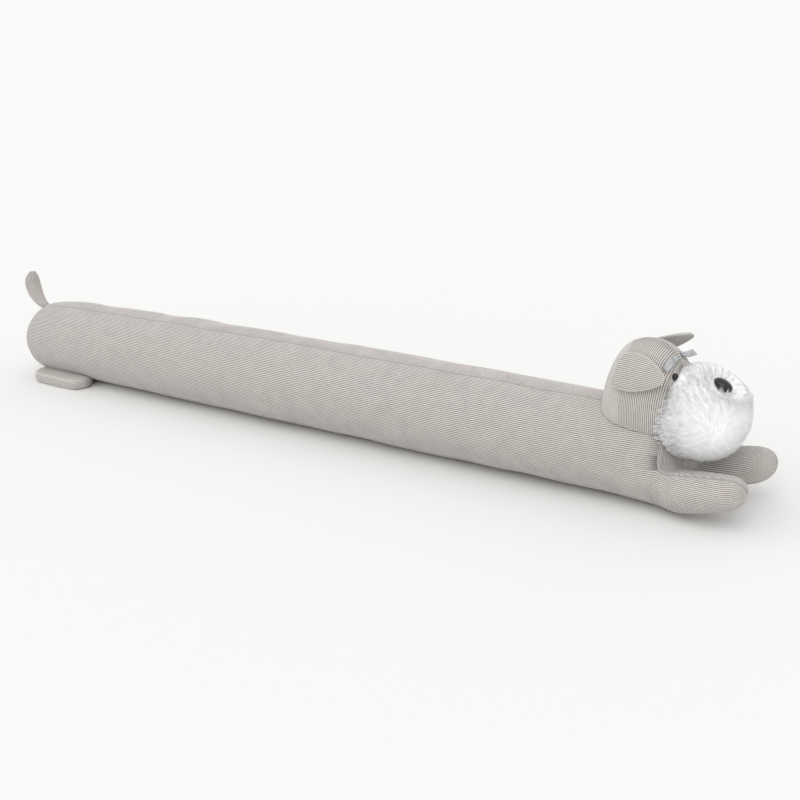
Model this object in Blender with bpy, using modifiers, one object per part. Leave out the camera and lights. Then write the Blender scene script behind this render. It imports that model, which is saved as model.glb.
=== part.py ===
"""A stuffed cord dog that lies along the foot of a door to keep the draught out.

Metres, +Z up, +X towards the head. Every place is measured from the fork of the front
legs, on the centre line and up from the floor. At the end the whole dog is moved along X
so that the origin lies under the middle of its length.
"""
import math

import bmesh
import bpy
from mathutils import Matrix, Vector
from mathutils.bvhtree import BVHTree

# Clearance that sewn pieces keep where they seat on each other
SEAT_GAP = 0.0004
SHEET_SEAT = 0.0011
ROOT_SEAT = 0.0005

# The stuffed tube, from its rear end to the fork of the front legs
TUBE_LENGTH = 0.883
TUBE_WIDTH = 0.095
TUBE_HEIGHT = 0.0915
FLOOR_SINK = 0.0013
END_ROUND = 0.027
REAR_SWELL = 0.0055
LUMP_HEIGHT = 0.0009
LUMP_SPACING = 0.105

# The chest panel between the front legs, narrower than the tube
CHEST_WIDTH = 0.078
CHEST_BULGE = 0.0115
CHEST_SEAM_AHEAD = 0.003

# The front legs
LEG_REACH = 0.0835
LEG_ROOT_HEIGHT = 0.0425
LEG_ROOT_SPREAD = 0.055
PAW_DIAMETER = 0.0315
PAW_SPREAD = 0.070
PAW_LIFT = 0.0225
# Angles round a leg, from its outer side over the top: the seam on its top, the floor
# edge, the inner edge of the chest, and back round to the seam
LEG_STOPS = (112, 304, 397, 472)

# The head, a dome with its face to the front
HEAD_WIDTH = 0.075
HEAD_LENGTH = 0.0725
HEAD_TOP = 0.1508
HEAD_FRONT = 0.009
# Share of the length, of the width, and of the height above the tube's centre
HEAD_STATIONS = ((0.0, 0.40, 0.52), (0.05, 0.64, 0.67), (0.20, 0.88, 0.90), (0.42, 1.0, 0.985),
                 (0.66, 1.0, 1.0), (0.84, 0.945, 0.945), (0.96, 0.86, 0.845), (1.0, 0.70, 0.72))

# The fur muzzle
MUZZLE_DIAMETER = 0.084
MUZZLE_AHEAD = 0.0295
MUZZLE_CENTRE_HEIGHT = 0.0904
MUZZLE_CENTRE = Vector((MUZZLE_AHEAD, 0, MUZZLE_CENTRE_HEIGHT))
PARTING = Vector((0.38, -0.48, -0.11))
TUFT_DEPTH = 0.0042
TUFT_LEAN = 0.9
TUFTS_ROUND = 22
TUFT_ROWS = 11

# Nose and eyes, moulded beads on a shank
NOSE_WIDTH = 0.018
NOSE_HEIGHT = 0.014
NOSE_DEPTH = 0.009
NOSE_FROM_CENTRE = 0.0285
NOSE_ELEVATION = math.radians(60)
NOSE_PIT_FLARE = 0.013
NOSE_PIT_MARGIN = 0.001
EYE_DIAMETER = 0.0066
EYE_SPACING = 0.031
EYE_HEIGHT = 0.1238
SHANK_DIAMETER = 0.0024
SHANK_LENGTH = 0.006

# Felt brows
BROW_LENGTH = 0.0205
BROW_WIDTH = 0.0074
FELT_THICKNESS = 0.0014
BROW_SPACING = 0.0285
BROW_HEIGHT = 0.1365
BROW_BEHIND_FACE = 0.0066
BROW_DROP = 0.0040
BROW_ACROSS = Vector((0.70, 0.0, -0.71)).normalized()
NEAR_BROW_LIFT = 0.0
FAR_BROW_LIFT = 0.0070

# Ears, two layers of cord sewn and turned
EAR_LENGTH = 0.054
EAR_WIDTH = 0.037
EAR_THICKNESS = 0.0034
EAR_BASE_HEIGHT = 0.127
EAR_BASE_BACK = 0.043
EAR_BASE_OUT = 0.36
EAR_ROOT_SLANT = 0.07
EAR_OUTWARD = 0.006
NEAR_EAR_TILT = math.radians(38)
NEAR_EAR_SPLAY = 0.005
NEAR_EAR_RISE = 0.001
NEAR_EAR_SHOWN = 1.0
FAR_EAR_TILT = math.radians(58)
FAR_EAR_SPLAY = 0.026
FAR_EAR_RISE = 0.019
FAR_EAR_SHOWN = 0.88
EAR_FREE_SPLAY = 0.015

# Tail and rear feet
TAIL_LENGTH = 0.056
TAIL_WIDTH = 0.022
TAIL_THICKNESS = 0.0060
TAIL_BASE_HEIGHT = 0.082
TAIL_SEAT = 0.0080
TAIL_LEAN = math.radians(62)
TAIL_CURL = math.radians(100)
TAIL_TURN = math.radians(15)
TAIL_TWIST = math.radians(45)
TAIL_RINGS = 8
FOOT_LENGTH = 0.092
FOOT_WIDTH = 0.034
FOOT_THICKNESS = 0.014
FOOT_FROM_REAR = 0.074
FOOT_OFFSET = 0.0405

HALF_TURN = math.pi
REAR = -TUBE_LENGTH
TUBE_CENTRE = TUBE_HEIGHT / 2


def start_collection(name):
    """An empty scene with one collection of the given name."""
    collection = bpy.data.collections.new(name)
    bpy.context.scene.collection.children.link(collection)
    return collection


for old in list(bpy.data.objects):
    bpy.data.objects.remove(old, do_unlink=True)
PARTS = start_collection("draught_dog")
CUTTERS = start_collection("cutters")


def material(name, colour, roughness):
    """A Principled material of one plain colour."""
    made = bpy.data.materials.new(name)
    made.use_nodes = True
    shader = made.node_tree.nodes["Principled BSDF"]
    shader.inputs["Base Color"].default_value = (*colour, 1.0)
    shader.inputs["Roughness"].default_value = roughness
    shader.inputs["Metallic"].default_value = 0.0
    return made


CORD = material("ribbed_cord", (0.47, 0.44, 0.41), 0.9)
FUR = material("white_fur", (0.88, 0.88, 0.87), 0.9)
FELT = material("grey_felt", (0.42, 0.44, 0.47), 0.95)
BLACK = material("black_plastic", (0.01, 0.01, 0.012), 0.15)


def add_object(name, bm, surface, collection=PARTS):
    """An object made from a bmesh, shaded smooth."""
    bmesh.ops.recalc_face_normals(bm, faces=bm.faces)
    mesh = bpy.data.meshes.new(name)
    bm.to_mesh(mesh)
    bm.free()
    mesh.materials.append(surface)
    mesh.shade_smooth()
    made = bpy.data.objects.new(name, mesh)
    collection.objects.link(made)
    return made


def make_cutter(obj):
    obj.hide_render = True
    obj.display_type = "WIRE"
    return obj


def mirror(obj):
    """Completes a half that is open at the centre line."""
    modifier = obj.modifiers.new("mirror", "MIRROR")
    modifier.use_axis = (False, True, False)
    modifier.use_clip = True
    modifier.merge_threshold = 0.0001


def round_off(obj, levels):
    modifier = obj.modifiers.new("stuffed", "SUBSURF")
    modifier.levels = levels
    modifier.render_levels = levels


def swollen_copy(obj, name):
    """A cutter with the form of obj, larger by the clearance on every side."""
    copy = obj.copy()
    copy.name = name
    CUTTERS.objects.link(copy)
    modifier = copy.modifiers.new("clearance", "DISPLACE")
    modifier.strength = SEAT_GAP
    modifier.mid_level = 0.0
    return make_cutter(copy)


def cut(obj, cutter):
    modifier = obj.modifiers.new("cut_by_" + cutter.name, "BOOLEAN")
    modifier.operation = "DIFFERENCE"
    modifier.object = cutter


def cage_factor(count):
    """How much wider a cage ring of count corners is than the smooth ring inside it."""
    return 3 / (2 + math.cos(2 * HALF_TURN / count))


def bridge(bm, first, second, closed=False):
    """Quads between two rows of corners."""
    last = len(first) if closed else len(first) - 1
    for i in range(last):
        j = (i + 1) % len(first)
        bm.faces.new((first[i], first[j], second[j], second[i]))


def close_row(bm, row):
    """A cap of quads laid across a row, from its first and last corners inwards."""
    low, high = 0, len(row) - 1
    while high - low > 2:
        bm.faces.new((row[low], row[low + 1], row[high - 1], row[high]))
        low, high = low + 1, high - 1
    if high - low == 2:
        bm.faces.new((row[low], row[low + 1], row[high]))


def half_ring(bm, x, width, bottom, top, steps):
    """Corners of half an oval across X, from the top down the -Y side to the bottom."""
    factor = cage_factor(2 * steps)
    middle, half_height = (top + bottom) / 2, (top - bottom) / 2
    corners = []
    for k in range(steps + 1):
        angle = HALF_TURN * k / steps
        y = -width / 2 * math.sin(angle) * factor
        z = middle + half_height * math.cos(angle) * factor
        corners.append(bm.verts.new((x, y, z)))
    corners[0].co.y = corners[-1].co.y = 0.0
    return corners


def lump(x):
    """How much the stuffing swells the tube: slightly uneven, and fuller behind."""
    wave = math.sin(x / LUMP_SPACING * 2 * HALF_TURN)
    wave += 0.6 * math.sin(2.3 * x / LUMP_SPACING * HALF_TURN + 1.0)
    behind = min(1.0, max(0.0, (x - REAR) / TUBE_LENGTH))
    return LUMP_HEIGHT * wave + REAR_SWELL * math.sin(HALF_TURN * behind ** 0.7)


RING_STEPS = 8
SIDE = RING_STEPS // 2


def tube_rows(bm):
    """The end panel, its rounded rim and the tube up to the fork."""
    rows = []
    for turn in (90, 62, 32):
        angle = math.radians(turn)
        inset = END_ROUND * (1 - math.cos(angle))
        x = REAR + END_ROUND * (1 - math.sin(angle))
        rows.append(half_ring(bm, x, TUBE_WIDTH - 2 * inset, inset, TUBE_HEIGHT - inset, RING_STEPS))
    straight = TUBE_LENGTH - END_ROUND
    count = max(4, round(straight / (LUMP_SPACING / 2.2)))
    for i in range(count + 1):
        x = REAR + END_ROUND + straight * i / count
        swell = lump(x)
        rows.append(half_ring(bm, x, TUBE_WIDTH + swell, 0.0, TUBE_HEIGHT + swell, RING_STEPS))
    for corner in rows[-1][1:SIDE + 1]:
        corner.co.y *= CHEST_WIDTH / TUBE_WIDTH
    rows[-1][SIDE].co.z = LEG_ROOT_HEIGHT
    for corner in rows[-1][:SIDE + 1]:
        corner.co.x += CHEST_SEAM_AHEAD
    return rows


def chest(bm, ring):
    """The bulging panel between the legs. Returns the corners of its lower edge."""
    upper = ring[:SIDE + 1]
    edge, middle = [], []
    for j in range(SIDE):
        across = j / SIDE
        ahead = CHEST_BULGE * (1 - across ** 2)
        y = ring[SIDE].co.y * across
        edge.append(bm.verts.new((ahead, y, LEG_ROOT_HEIGHT)))
        high = (LEG_ROOT_HEIGHT + upper[j].co.z) / 2
        middle.append(bm.verts.new((ahead, y, high)))
    for j in range(SIDE - 1):
        bm.faces.new((upper[j], upper[j + 1], middle[j + 1], middle[j]))
        bm.faces.new((middle[j], middle[j + 1], edge[j + 1], edge[j]))
    bm.faces.new((upper[SIDE - 1], upper[SIDE], middle[SIDE - 1]))
    bm.faces.new((middle[SIDE - 1], upper[SIDE], edge[SIDE - 1]))
    return edge


def leg_root(bm, ring, edge):
    """The corners where a leg leaves the tube: outer side, floor, crotch and chest edge."""
    floor, top = ring[RING_STEPS].co, edge[0].co
    crotch = [bm.verts.new(floor.lerp(top, share)) for share in (0.25, 0.5, 0.75)]
    return ring[SIDE:] + crotch + edge


def leg_ring(bm, along):
    """Corners round the leg at a share of its reach; they match those of its root."""
    paw_centre = PAW_LIFT + PAW_DIAMETER / 2
    radius = (LEG_ROOT_HEIGHT + (PAW_DIAMETER - LEG_ROOT_HEIGHT) * along) / 2
    y = -(LEG_ROOT_SPREAD + (PAW_SPREAD - LEG_ROOT_SPREAD) * along) / 2
    z = LEG_ROOT_HEIGHT / 2 + (paw_centre - LEG_ROOT_HEIGHT / 2) * along ** 1.15
    straight = LEG_REACH - PAW_DIAMETER / 2
    x = LEG_REACH * along
    if x > straight:
        past = (x - straight) / (PAW_DIAMETER / 2)
        radius *= math.sqrt(max(0.0, 1 - past ** 2))
    corners = []
    for start, end in zip(LEG_STOPS, LEG_STOPS[1:]):
        between = math.radians(end - start) / SIDE
        reach = radius * 3 / (2 + math.cos(between))
        for step in range(SIDE):
            angle = math.radians(start) + between * step
            corners.append(bm.verts.new((x, y + reach * math.cos(angle), z + reach * math.sin(angle))))
    return corners


def sew(bm, line, sharpness):
    """Sharpens the edges along a line of corners, as a stitched seam does."""
    layer = bm.edges.layers.float.get("crease_edge") or bm.edges.layers.float.new("crease_edge")
    for first, second in zip(line, line[1:]):
        joint = bm.edges.get((first, second))
        joint[layer] = sharpness


def make_body():
    """Tube, chest and front legs: one sewn skin, stuffed, flattened where it lies."""
    bm = bmesh.new()
    rows = tube_rows(bm)
    close_row(bm, rows[0])
    for first, second in zip(rows, rows[1:]):
        bridge(bm, first, second)
    edge = chest(bm, rows[-1])
    ring = leg_root(bm, rows[-1], edge)
    leg_top = [ring[0]]
    for along in (0.22, 0.45, 0.66, 0.82, 0.93, 0.985):
        following = leg_ring(bm, along)
        bridge(bm, ring, following, closed=True)
        ring = following
        leg_top.append(ring[0])
    close_row(bm, ring)
    sew(bm, [row[0] for row in rows], 0.35)
    sew(bm, rows[2], 0.45)
    sew(bm, rows[-1][:SIDE + 1], 0.7)
    sew(bm, leg_top, 0.35)
    bmesh.ops.translate(bm, verts=bm.verts, vec=(0, 0, -FLOOR_SINK))
    body = add_object("body", bm, CORD)
    mirror(body)
    round_off(body, 1)
    return body


def make_floor():
    """A slab under the floor level, which trims what the dog's weight presses flat."""
    depth = 0.05
    bpy.ops.mesh.primitive_cube_add(size=1, location=(-TUBE_LENGTH / 2, 0, -depth / 2))
    slab = bpy.context.active_object
    slab.name = "floor"
    slab.scale = (2 * TUBE_LENGTH, 4 * TUBE_WIDTH, depth)
    bpy.ops.object.transform_apply(location=True, scale=True)
    for owner in list(slab.users_collection):
        owner.objects.unlink(slab)
    CUTTERS.objects.link(slab)
    return make_cutter(slab)


HEAD_STEPS = 7


def make_head():
    """The dome of the head, from the back of the skull to the flat of the face."""
    bm = bmesh.new()
    back = HEAD_FRONT - HEAD_LENGTH
    tall = HEAD_TOP - TUBE_CENTRE
    rows = []
    for share, wide, high in HEAD_STATIONS:
        x = back + HEAD_LENGTH * share
        rows.append(half_ring(bm, x, HEAD_WIDTH * wide, TUBE_CENTRE, TUBE_CENTRE + tall * high, HEAD_STEPS))
    close_row(bm, rows[0])
    close_row(bm, rows[-1])
    for first, second in zip(rows, rows[1:]):
        bridge(bm, first, second)
    sew(bm, [row[0] for row in rows], 0.4)
    sew(bm, rows[-2], 0.5)
    head = add_object("head", bm, CORD)
    mirror(head)
    round_off(head, 1)
    return head


def surface_of(obj):
    """The finished surface of an object, for laying other pieces on it."""
    bpy.context.view_layer.update()
    return BVHTree.FromObject(obj, bpy.context.evaluated_depsgraph_get())


def sheet_on(surface, name, cloth, thickness, outline, root, along, across, hold, slant=0.0):
    """A sewn flat piece that starts laid on a surface and runs out to its own plane.

    outline gives its half width and hold how closely it lies on the surface, both for a
    share of its length. slant sets one corner of its root ahead of the other.
    """
    bm = bmesh.new()
    columns, lines = 7, 5
    grid = []
    for i in range(columns):
        share = i / (columns - 1)
        row = []
        for j in range(lines):
            side = 2 * j / (lines - 1) - 1
            ahead = share - slant * side * (1.0 - share)
            free = root + along * ahead + across * side * outline(share)
            near, normal, _, _ = surface.find_nearest(free)
            seat = SHEET_SEAT if i else ROOT_SEAT
            height = max(seat, (free - near).dot(normal) * (1.0 - hold(share)))
            row.append(bm.verts.new(near + normal * height))
        grid.append(row)
    for first, second in zip(grid, grid[1:]):
        bridge(bm, first, second)
    bmesh.ops.recalc_face_normals(bm, faces=bm.faces)
    outward = sum((face.normal for face in bm.faces), Vector())
    if outward.dot(root - Vector((root.x, 0, TUBE_CENTRE))) < 0:
        bmesh.ops.reverse_faces(bm, faces=bm.faces)
    mesh = bpy.data.meshes.new(name)
    bm.to_mesh(mesh)
    bm.free()
    mesh.materials.append(cloth)
    mesh.shade_smooth()
    sheet = bpy.data.objects.new(name, mesh)
    PARTS.objects.link(sheet)
    solid = sheet.modifiers.new("layers", "SOLIDIFY")
    solid.thickness = thickness
    solid.offset = 1.0
    round_off(sheet, 1)
    return sheet


def ear_outline(share):
    """Half width of the ear: a leaf, full near its middle and rounded at the tip."""
    return EAR_WIDTH / 2 * math.sin(HALF_TURN * (0.30 + 0.66 * share)) ** 0.8


def make_ear(surface, name, side, tilt, splay, rise, shown):
    """An ear sewn upright behind the side of the head and folded forward over it.

    tilt leans its upper edge inwards, splay and rise carry its tip out and up, and shown
    is the share of its length that isn't drawn into the seam.
    """
    root = Vector((-EAR_BASE_BACK, side * HEAD_WIDTH * EAR_BASE_OUT, EAR_BASE_HEIGHT))
    along = Vector((EAR_LENGTH, side * (EAR_OUTWARD + splay), rise))
    along *= EAR_LENGTH * shown / along.length
    across = Vector((0.0, side * math.sin(tilt), -math.cos(tilt)))
    return sheet_on(surface, name, CORD, EAR_THICKNESS, ear_outline, root, along, across,
                    lambda share: max(0.0, 1.0 - (splay / EAR_FREE_SPLAY + 0.3) * share),
                    slant=EAR_ROOT_SLANT)


def brow_outline(share):
    """Half width of the brow: narrow in the seam and wider at its free end."""
    return BROW_WIDTH / 2 * (0.64 + 0.36 * share)


def make_brow(surface, name, side, lift):
    """A felt strip caught in the seam above the eye, running down to the side."""
    inner = side * (BROW_SPACING - BROW_LENGTH) / 2
    root = Vector((HEAD_FRONT - BROW_BEHIND_FACE, inner, BROW_HEIGHT))
    along = Vector((lift, side * BROW_LENGTH, lift / 3 - BROW_DROP))
    along *= BROW_LENGTH / along.length
    return sheet_on(surface, name, FELT, FELT_THICKNESS, brow_outline, root, along, BROW_ACROSS,
                    lambda share: 1.0 - share * lift / FAR_BROW_LIFT)


def turned_bead(name, wide, high, deep, collection=PARTS, grow=0.0):
    """A domed oval bead facing +Z on a round shank, as one moulding."""
    bm = bmesh.new()
    bmesh.ops.create_uvsphere(bm, u_segments=20, v_segments=10, radius=1.0)
    bmesh.ops.scale(bm, verts=bm.verts, vec=(high / 2 + grow, wide / 2 + grow, deep / 2 + grow))
    bead = add_object(name, bm, BLACK, collection)
    shank = bmesh.new()
    radius = SHANK_DIAMETER / 2 + grow
    length = SHANK_LENGTH + grow
    place = Matrix.Translation((0, 0, -deep / 2 - length / 2 + deep / 4))
    bmesh.ops.create_cone(shank, cap_ends=True, segments=12, radius1=radius, radius2=radius,
                          depth=length + deep / 2, matrix=place)
    pin = make_cutter(add_object(name + "_shank", shank, BLACK, CUTTERS))
    joined = bead.modifiers.new("shank", "BOOLEAN")
    joined.operation = "UNION"
    joined.object = pin
    return bead, pin


def place_bead(name, sizes, where, facing):
    """A bead and the cutter for its seat, set at a place and facing a direction."""
    turn = facing.to_track_quat("Z", "Y").to_matrix().to_4x4()
    matrix = Matrix.Translation(where) @ turn
    made = turned_bead(name, *sizes)
    seat = turned_bead(name + "_seat", *sizes, collection=CUTTERS, grow=SEAT_GAP)
    for obj in made + seat:
        obj.matrix_world = matrix
    return made[0], make_cutter(seat[0])


def make_muzzle():
    """A ball of long white fur. Its tufts fall away in rows from the parting in front."""
    bm = bmesh.new()
    around, down = 2 * TUFTS_ROUND, 2 * TUFT_ROWS
    bmesh.ops.create_uvsphere(bm, u_segments=around, v_segments=down, radius=1.0)
    for corner in bm.verts:
        polar = math.acos(max(-1.0, min(1.0, corner.co.z)))
        turn = math.atan2(corner.co.y, corner.co.x)
        row = round(polar / HALF_TURN * down)
        column = round(turn / (2 * HALF_TURN) * around)
        tip = row % 2 == 0 and (column + row // 2) % 2 == 0
        inside_poles = 0 < row < down
        radius = MUZZLE_DIAMETER / 2 - (0.0 if tip and inside_poles else TUFT_DEPTH)
        lean = TUFT_LEAN * HALF_TURN / down if tip and inside_poles else 0.0
        polar = min(polar + lean, HALF_TURN)
        corner.co = radius * Vector((math.sin(polar) * math.cos(turn),
                                     math.sin(polar) * math.sin(turn), math.cos(polar)))
    turn = PARTING.to_track_quat("Z", "Y").to_matrix().to_4x4()
    bm.transform(Matrix.Translation(MUZZLE_CENTRE) @ turn)
    return add_object("muzzle", bm, FUR)


def nose_pit(facing):
    """The hollow that the fur leaves round the nose, wider to the outside."""
    bm = bmesh.new()
    low = NOSE_FROM_CENTRE - NOSE_DEPTH / 2
    deep = MUZZLE_DIAMETER / 2 - low + 0.004
    turn = facing.to_track_quat("Z", "Y").to_matrix().to_4x4()
    place = Matrix.Translation(MUZZLE_CENTRE + facing * (low + deep / 2)) @ turn
    bmesh.ops.create_cone(bm, cap_ends=True, segments=24, radius1=NOSE_WIDTH / 2 - NOSE_PIT_MARGIN,
                          radius2=NOSE_WIDTH / 2 + NOSE_PIT_FLARE, depth=deep, matrix=place)
    return make_cutter(add_object("nose_pit", bm, FUR, CUTTERS))


def make_tail():
    """A flat turned tube of cord, sewn on above the end panel, bent back and curling up."""
    bm = bmesh.new()
    place = Vector((REAR + TAIL_SEAT, 0, TAIL_BASE_HEIGHT))
    rows = []
    for i in range(TAIL_RINGS):
        share = i / (TAIL_RINGS - 1)
        lean = TAIL_LEAN - TAIL_CURL * share
        twist = TAIL_TURN + TAIL_TWIST * share
        past = max(0.0, (share - 0.72) / 0.30)
        round_tip = math.sqrt(max(0.0, 1 - past ** 2))
        wide = TAIL_WIDTH / 2 * (0.62 + 0.38 * min(1.0, 2 * share)) * round_tip
        thick = TAIL_THICKNESS / 2 * max(round_tip, 0.5)
        side = Vector((math.sin(twist), math.cos(twist), 0))
        rise = Vector((-math.sin(lean), 0, math.cos(lean)))
        out = rise.cross(side).normalized()
        row = []
        for k in range(8):
            angle = HALF_TURN * k / 4
            row.append(bm.verts.new(place + side * wide * math.cos(angle) + out * thick * math.sin(angle)))
        rows.append(row)
        place = place + TAIL_LENGTH / (TAIL_RINGS - 1) * rise
    close_row(bm, rows[0])
    close_row(bm, rows[-1])
    for first, second in zip(rows, rows[1:]):
        bridge(bm, first, second, closed=True)
    tail = add_object("tail", bm, CORD)
    round_off(tail, 1)
    return tail


def make_foot(name, side):
    """A flat oval pad that lies on the floor, tucked under the flank."""
    bpy.ops.mesh.primitive_cylinder_add(vertices=20, radius=0.5, depth=1, end_fill_type="NGON")
    foot = bpy.context.active_object
    foot.name = name
    for owner in list(foot.users_collection):
        owner.objects.unlink(foot)
    PARTS.objects.link(foot)
    foot.data.materials.append(CORD)
    straight = (FOOT_LENGTH - FOOT_WIDTH) / 2
    for corner in foot.data.vertices:
        x, y, z = corner.co
        shift = straight * max(-1.0, min(1.0, 6 * x))
        corner.co = (x * FOOT_WIDTH + shift, y * FOOT_WIDTH, (z + 0.5) * FOOT_THICKNESS)
    foot.location = (REAR + FOOT_FROM_REAR, side * FOOT_OFFSET, 0)
    bevel = foot.modifiers.new("stuffed_rim", "BEVEL")
    bevel.width = FOOT_THICKNESS * 0.36
    bevel.segments = 3
    bevel.limit_method = "ANGLE"
    return foot


body = make_body()
floor = make_floor()
body_clearance = swollen_copy(body, "body_clearance")
cut(body, floor)

head = make_head()
head_clearance = swollen_copy(head, "head_clearance")
head_surface = surface_of(head)
cut(head, body_clearance)

muzzle = make_muzzle()
cut(muzzle, body_clearance)
cut(muzzle, head_clearance)

nose_facing = Vector((math.cos(NOSE_ELEVATION), 0, math.sin(NOSE_ELEVATION)))
nose, nose_seat = place_bead("nose", (NOSE_WIDTH, NOSE_HEIGHT, NOSE_DEPTH),
                             MUZZLE_CENTRE + nose_facing * NOSE_FROM_CENTRE, nose_facing)
cut(muzzle, nose_pit(nose_facing))
cut(muzzle, nose_seat)

near_ear = (NEAR_EAR_TILT, NEAR_EAR_SPLAY, NEAR_EAR_RISE, NEAR_EAR_SHOWN)
far_ear = (FAR_EAR_TILT, FAR_EAR_SPLAY, FAR_EAR_RISE, FAR_EAR_SHOWN)
sides = (("right", -1, NEAR_BROW_LIFT, near_ear), ("left", 1, FAR_BROW_LIFT, far_ear))
for label, side, lift, ear_pose in sides:
    from_front = Vector((TUBE_WIDTH, side * EYE_SPACING / 2, EYE_HEIGHT))
    face, facing, _, _ = head_surface.ray_cast(from_front, Vector((-1, 0, 0)))
    eye, eye_seat = place_bead("eye_" + label, (EYE_DIAMETER, EYE_DIAMETER, EYE_DIAMETER * 0.8),
                               face + facing * EYE_DIAMETER * 0.12, facing)
    cut(head, eye_seat)
    cut(muzzle, eye_seat)
    make_brow(head_surface, "brow_" + label, side, lift)
    make_ear(head_surface, "ear_" + label, side, *ear_pose)
    foot = make_foot("foot_" + label, side)
    cut(foot, body_clearance)

tail = make_tail()
cut(tail, body_clearance)


def centre_on_origin():
    """Hangs every object on one empty and moves it until the length is centred on X = 0."""
    bpy.context.view_layer.update()
    graph = bpy.context.evaluated_depsgraph_get()
    ends = []
    for obj in PARTS.objects:
        made = obj.evaluated_get(graph)
        ends.extend((made.matrix_world @ Vector(corner)).x for corner in made.bound_box)
    origin = bpy.data.objects.new("dog", None)
    PARTS.objects.link(origin)
    for obj in list(PARTS.objects) + list(CUTTERS.objects):
        if obj is not origin:
            obj.parent = origin
    origin.location.x = -(min(ends) + max(ends)) / 2


centre_on_origin()
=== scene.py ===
"""The looks of a stuffed cord dog that lies along the foot of a door to keep draughts out.

Metres, +Z up, +X towards the head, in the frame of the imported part.
"""
import math
from functools import partial

import bmesh
import bpy
import numpy as np
from mathutils import Matrix, Vector, noise
from mathutils.bvhtree import BVHTree
from mathutils.kdtree import KDTree


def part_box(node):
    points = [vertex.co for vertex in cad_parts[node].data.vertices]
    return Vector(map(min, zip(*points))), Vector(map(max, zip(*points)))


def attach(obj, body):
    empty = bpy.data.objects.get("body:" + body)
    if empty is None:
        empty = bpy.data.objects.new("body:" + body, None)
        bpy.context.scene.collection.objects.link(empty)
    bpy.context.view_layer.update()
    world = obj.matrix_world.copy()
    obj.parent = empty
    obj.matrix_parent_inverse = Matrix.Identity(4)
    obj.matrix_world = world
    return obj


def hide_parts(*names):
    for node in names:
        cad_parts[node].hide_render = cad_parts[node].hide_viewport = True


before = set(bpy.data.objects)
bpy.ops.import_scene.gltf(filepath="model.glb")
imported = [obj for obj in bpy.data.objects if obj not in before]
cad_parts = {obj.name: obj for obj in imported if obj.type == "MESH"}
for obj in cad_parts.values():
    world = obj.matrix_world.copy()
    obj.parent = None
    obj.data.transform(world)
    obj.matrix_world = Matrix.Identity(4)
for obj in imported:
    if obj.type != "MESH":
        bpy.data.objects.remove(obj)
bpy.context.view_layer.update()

# Body: the long tube with its end panel, the chest and both front legs. One skin of
# ribbed cotton cord, cut so that the ribs run lengthwise, sewn from panels, turned, and
# stuffed with loose polyester, which leaves it slightly lumpy and flat underneath.

# The cord has 15 ribs an inch
RIB = 0.0017
RIB_HEIGHT = 0.00034
RIBS_PER_EDGE = 10
TUBE_LENGTH = 0.883
TUBE_WIDTH = 0.095
TUBE_HEIGHT = 0.0915
TUBE_CENTRE = TUBE_HEIGHT / 2
FLOOR_SINK = 0.0013
END_ROUND = 0.027
REAR_SWELL = 0.0055
LUMP_HEIGHT = 0.0009
LUMP_SPACING = 0.105
CHEST_WIDTH = 0.078
CHEST_BULGE = 0.0115
CHEST_SEAM_AHEAD = 0.003
LEG_REACH = 0.0835
LEG_ROOT_HEIGHT = 0.0425
LEG_ROOT_SPREAD = 0.055
PAW_DIAMETER = 0.0315
PAW_SPREAD = 0.070
PAW_LIFT = 0.0225
# Angles round a leg, from its outer side over the top: the seam on its top, the floor
# edge, the inner edge of the chest, and back round to the seam
LEG_STOPS = (112, 304, 397, 472)
LEG_RIB_SLANT = 0.21
RING_STEPS = 8
SIDE = RING_STEPS // 2
SEAT_GAP = 0.0004
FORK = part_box("body")[0].x + TUBE_LENGTH
REAR = FORK - TUBE_LENGTH
# Rows of the baking map: pole and rim of the end panel, tube, chest, legs
BAKE_END = 0.06
BAKE_TUBE = 0.78
BAKE_CHEST = (0.79, 0.81, 0.83)
BAKE_LEG = 0.85


def colour(text):
    """The linear colour of an sRGB hex value."""
    parts = [int(text[i:i + 2], 16) / 255 for i in (1, 3, 5)]
    return tuple(p / 12.92 if p <= 0.04045 else ((p + 0.055) / 1.055) ** 2.4 for p in parts) + (1.0,)


def add_node(tree, kind, inputs=None, **settings):
    """A node with its settings. Its inputs are values, sockets, or nodes, of which the first
    output in use is linked."""
    node = tree.nodes.new("ShaderNode" + kind)
    for name, value in settings.items():
        setattr(node, name, value)
    for name, value in (inputs or {}).items():
        if isinstance(value, bpy.types.Node):
            value = next(output for output in value.outputs if output.enabled)
        if isinstance(value, bpy.types.NodeSocket):
            tree.links.new(value, node.inputs[name])
        else:
            node.inputs[name].default_value = value
    return node


def empty_tree(owner):
    """Clears the nodes of a material or world, and gives what adds new ones to it."""
    owner.use_nodes = True
    owner.node_tree.nodes.clear()
    return partial(add_node, owner.node_tree)


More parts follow.
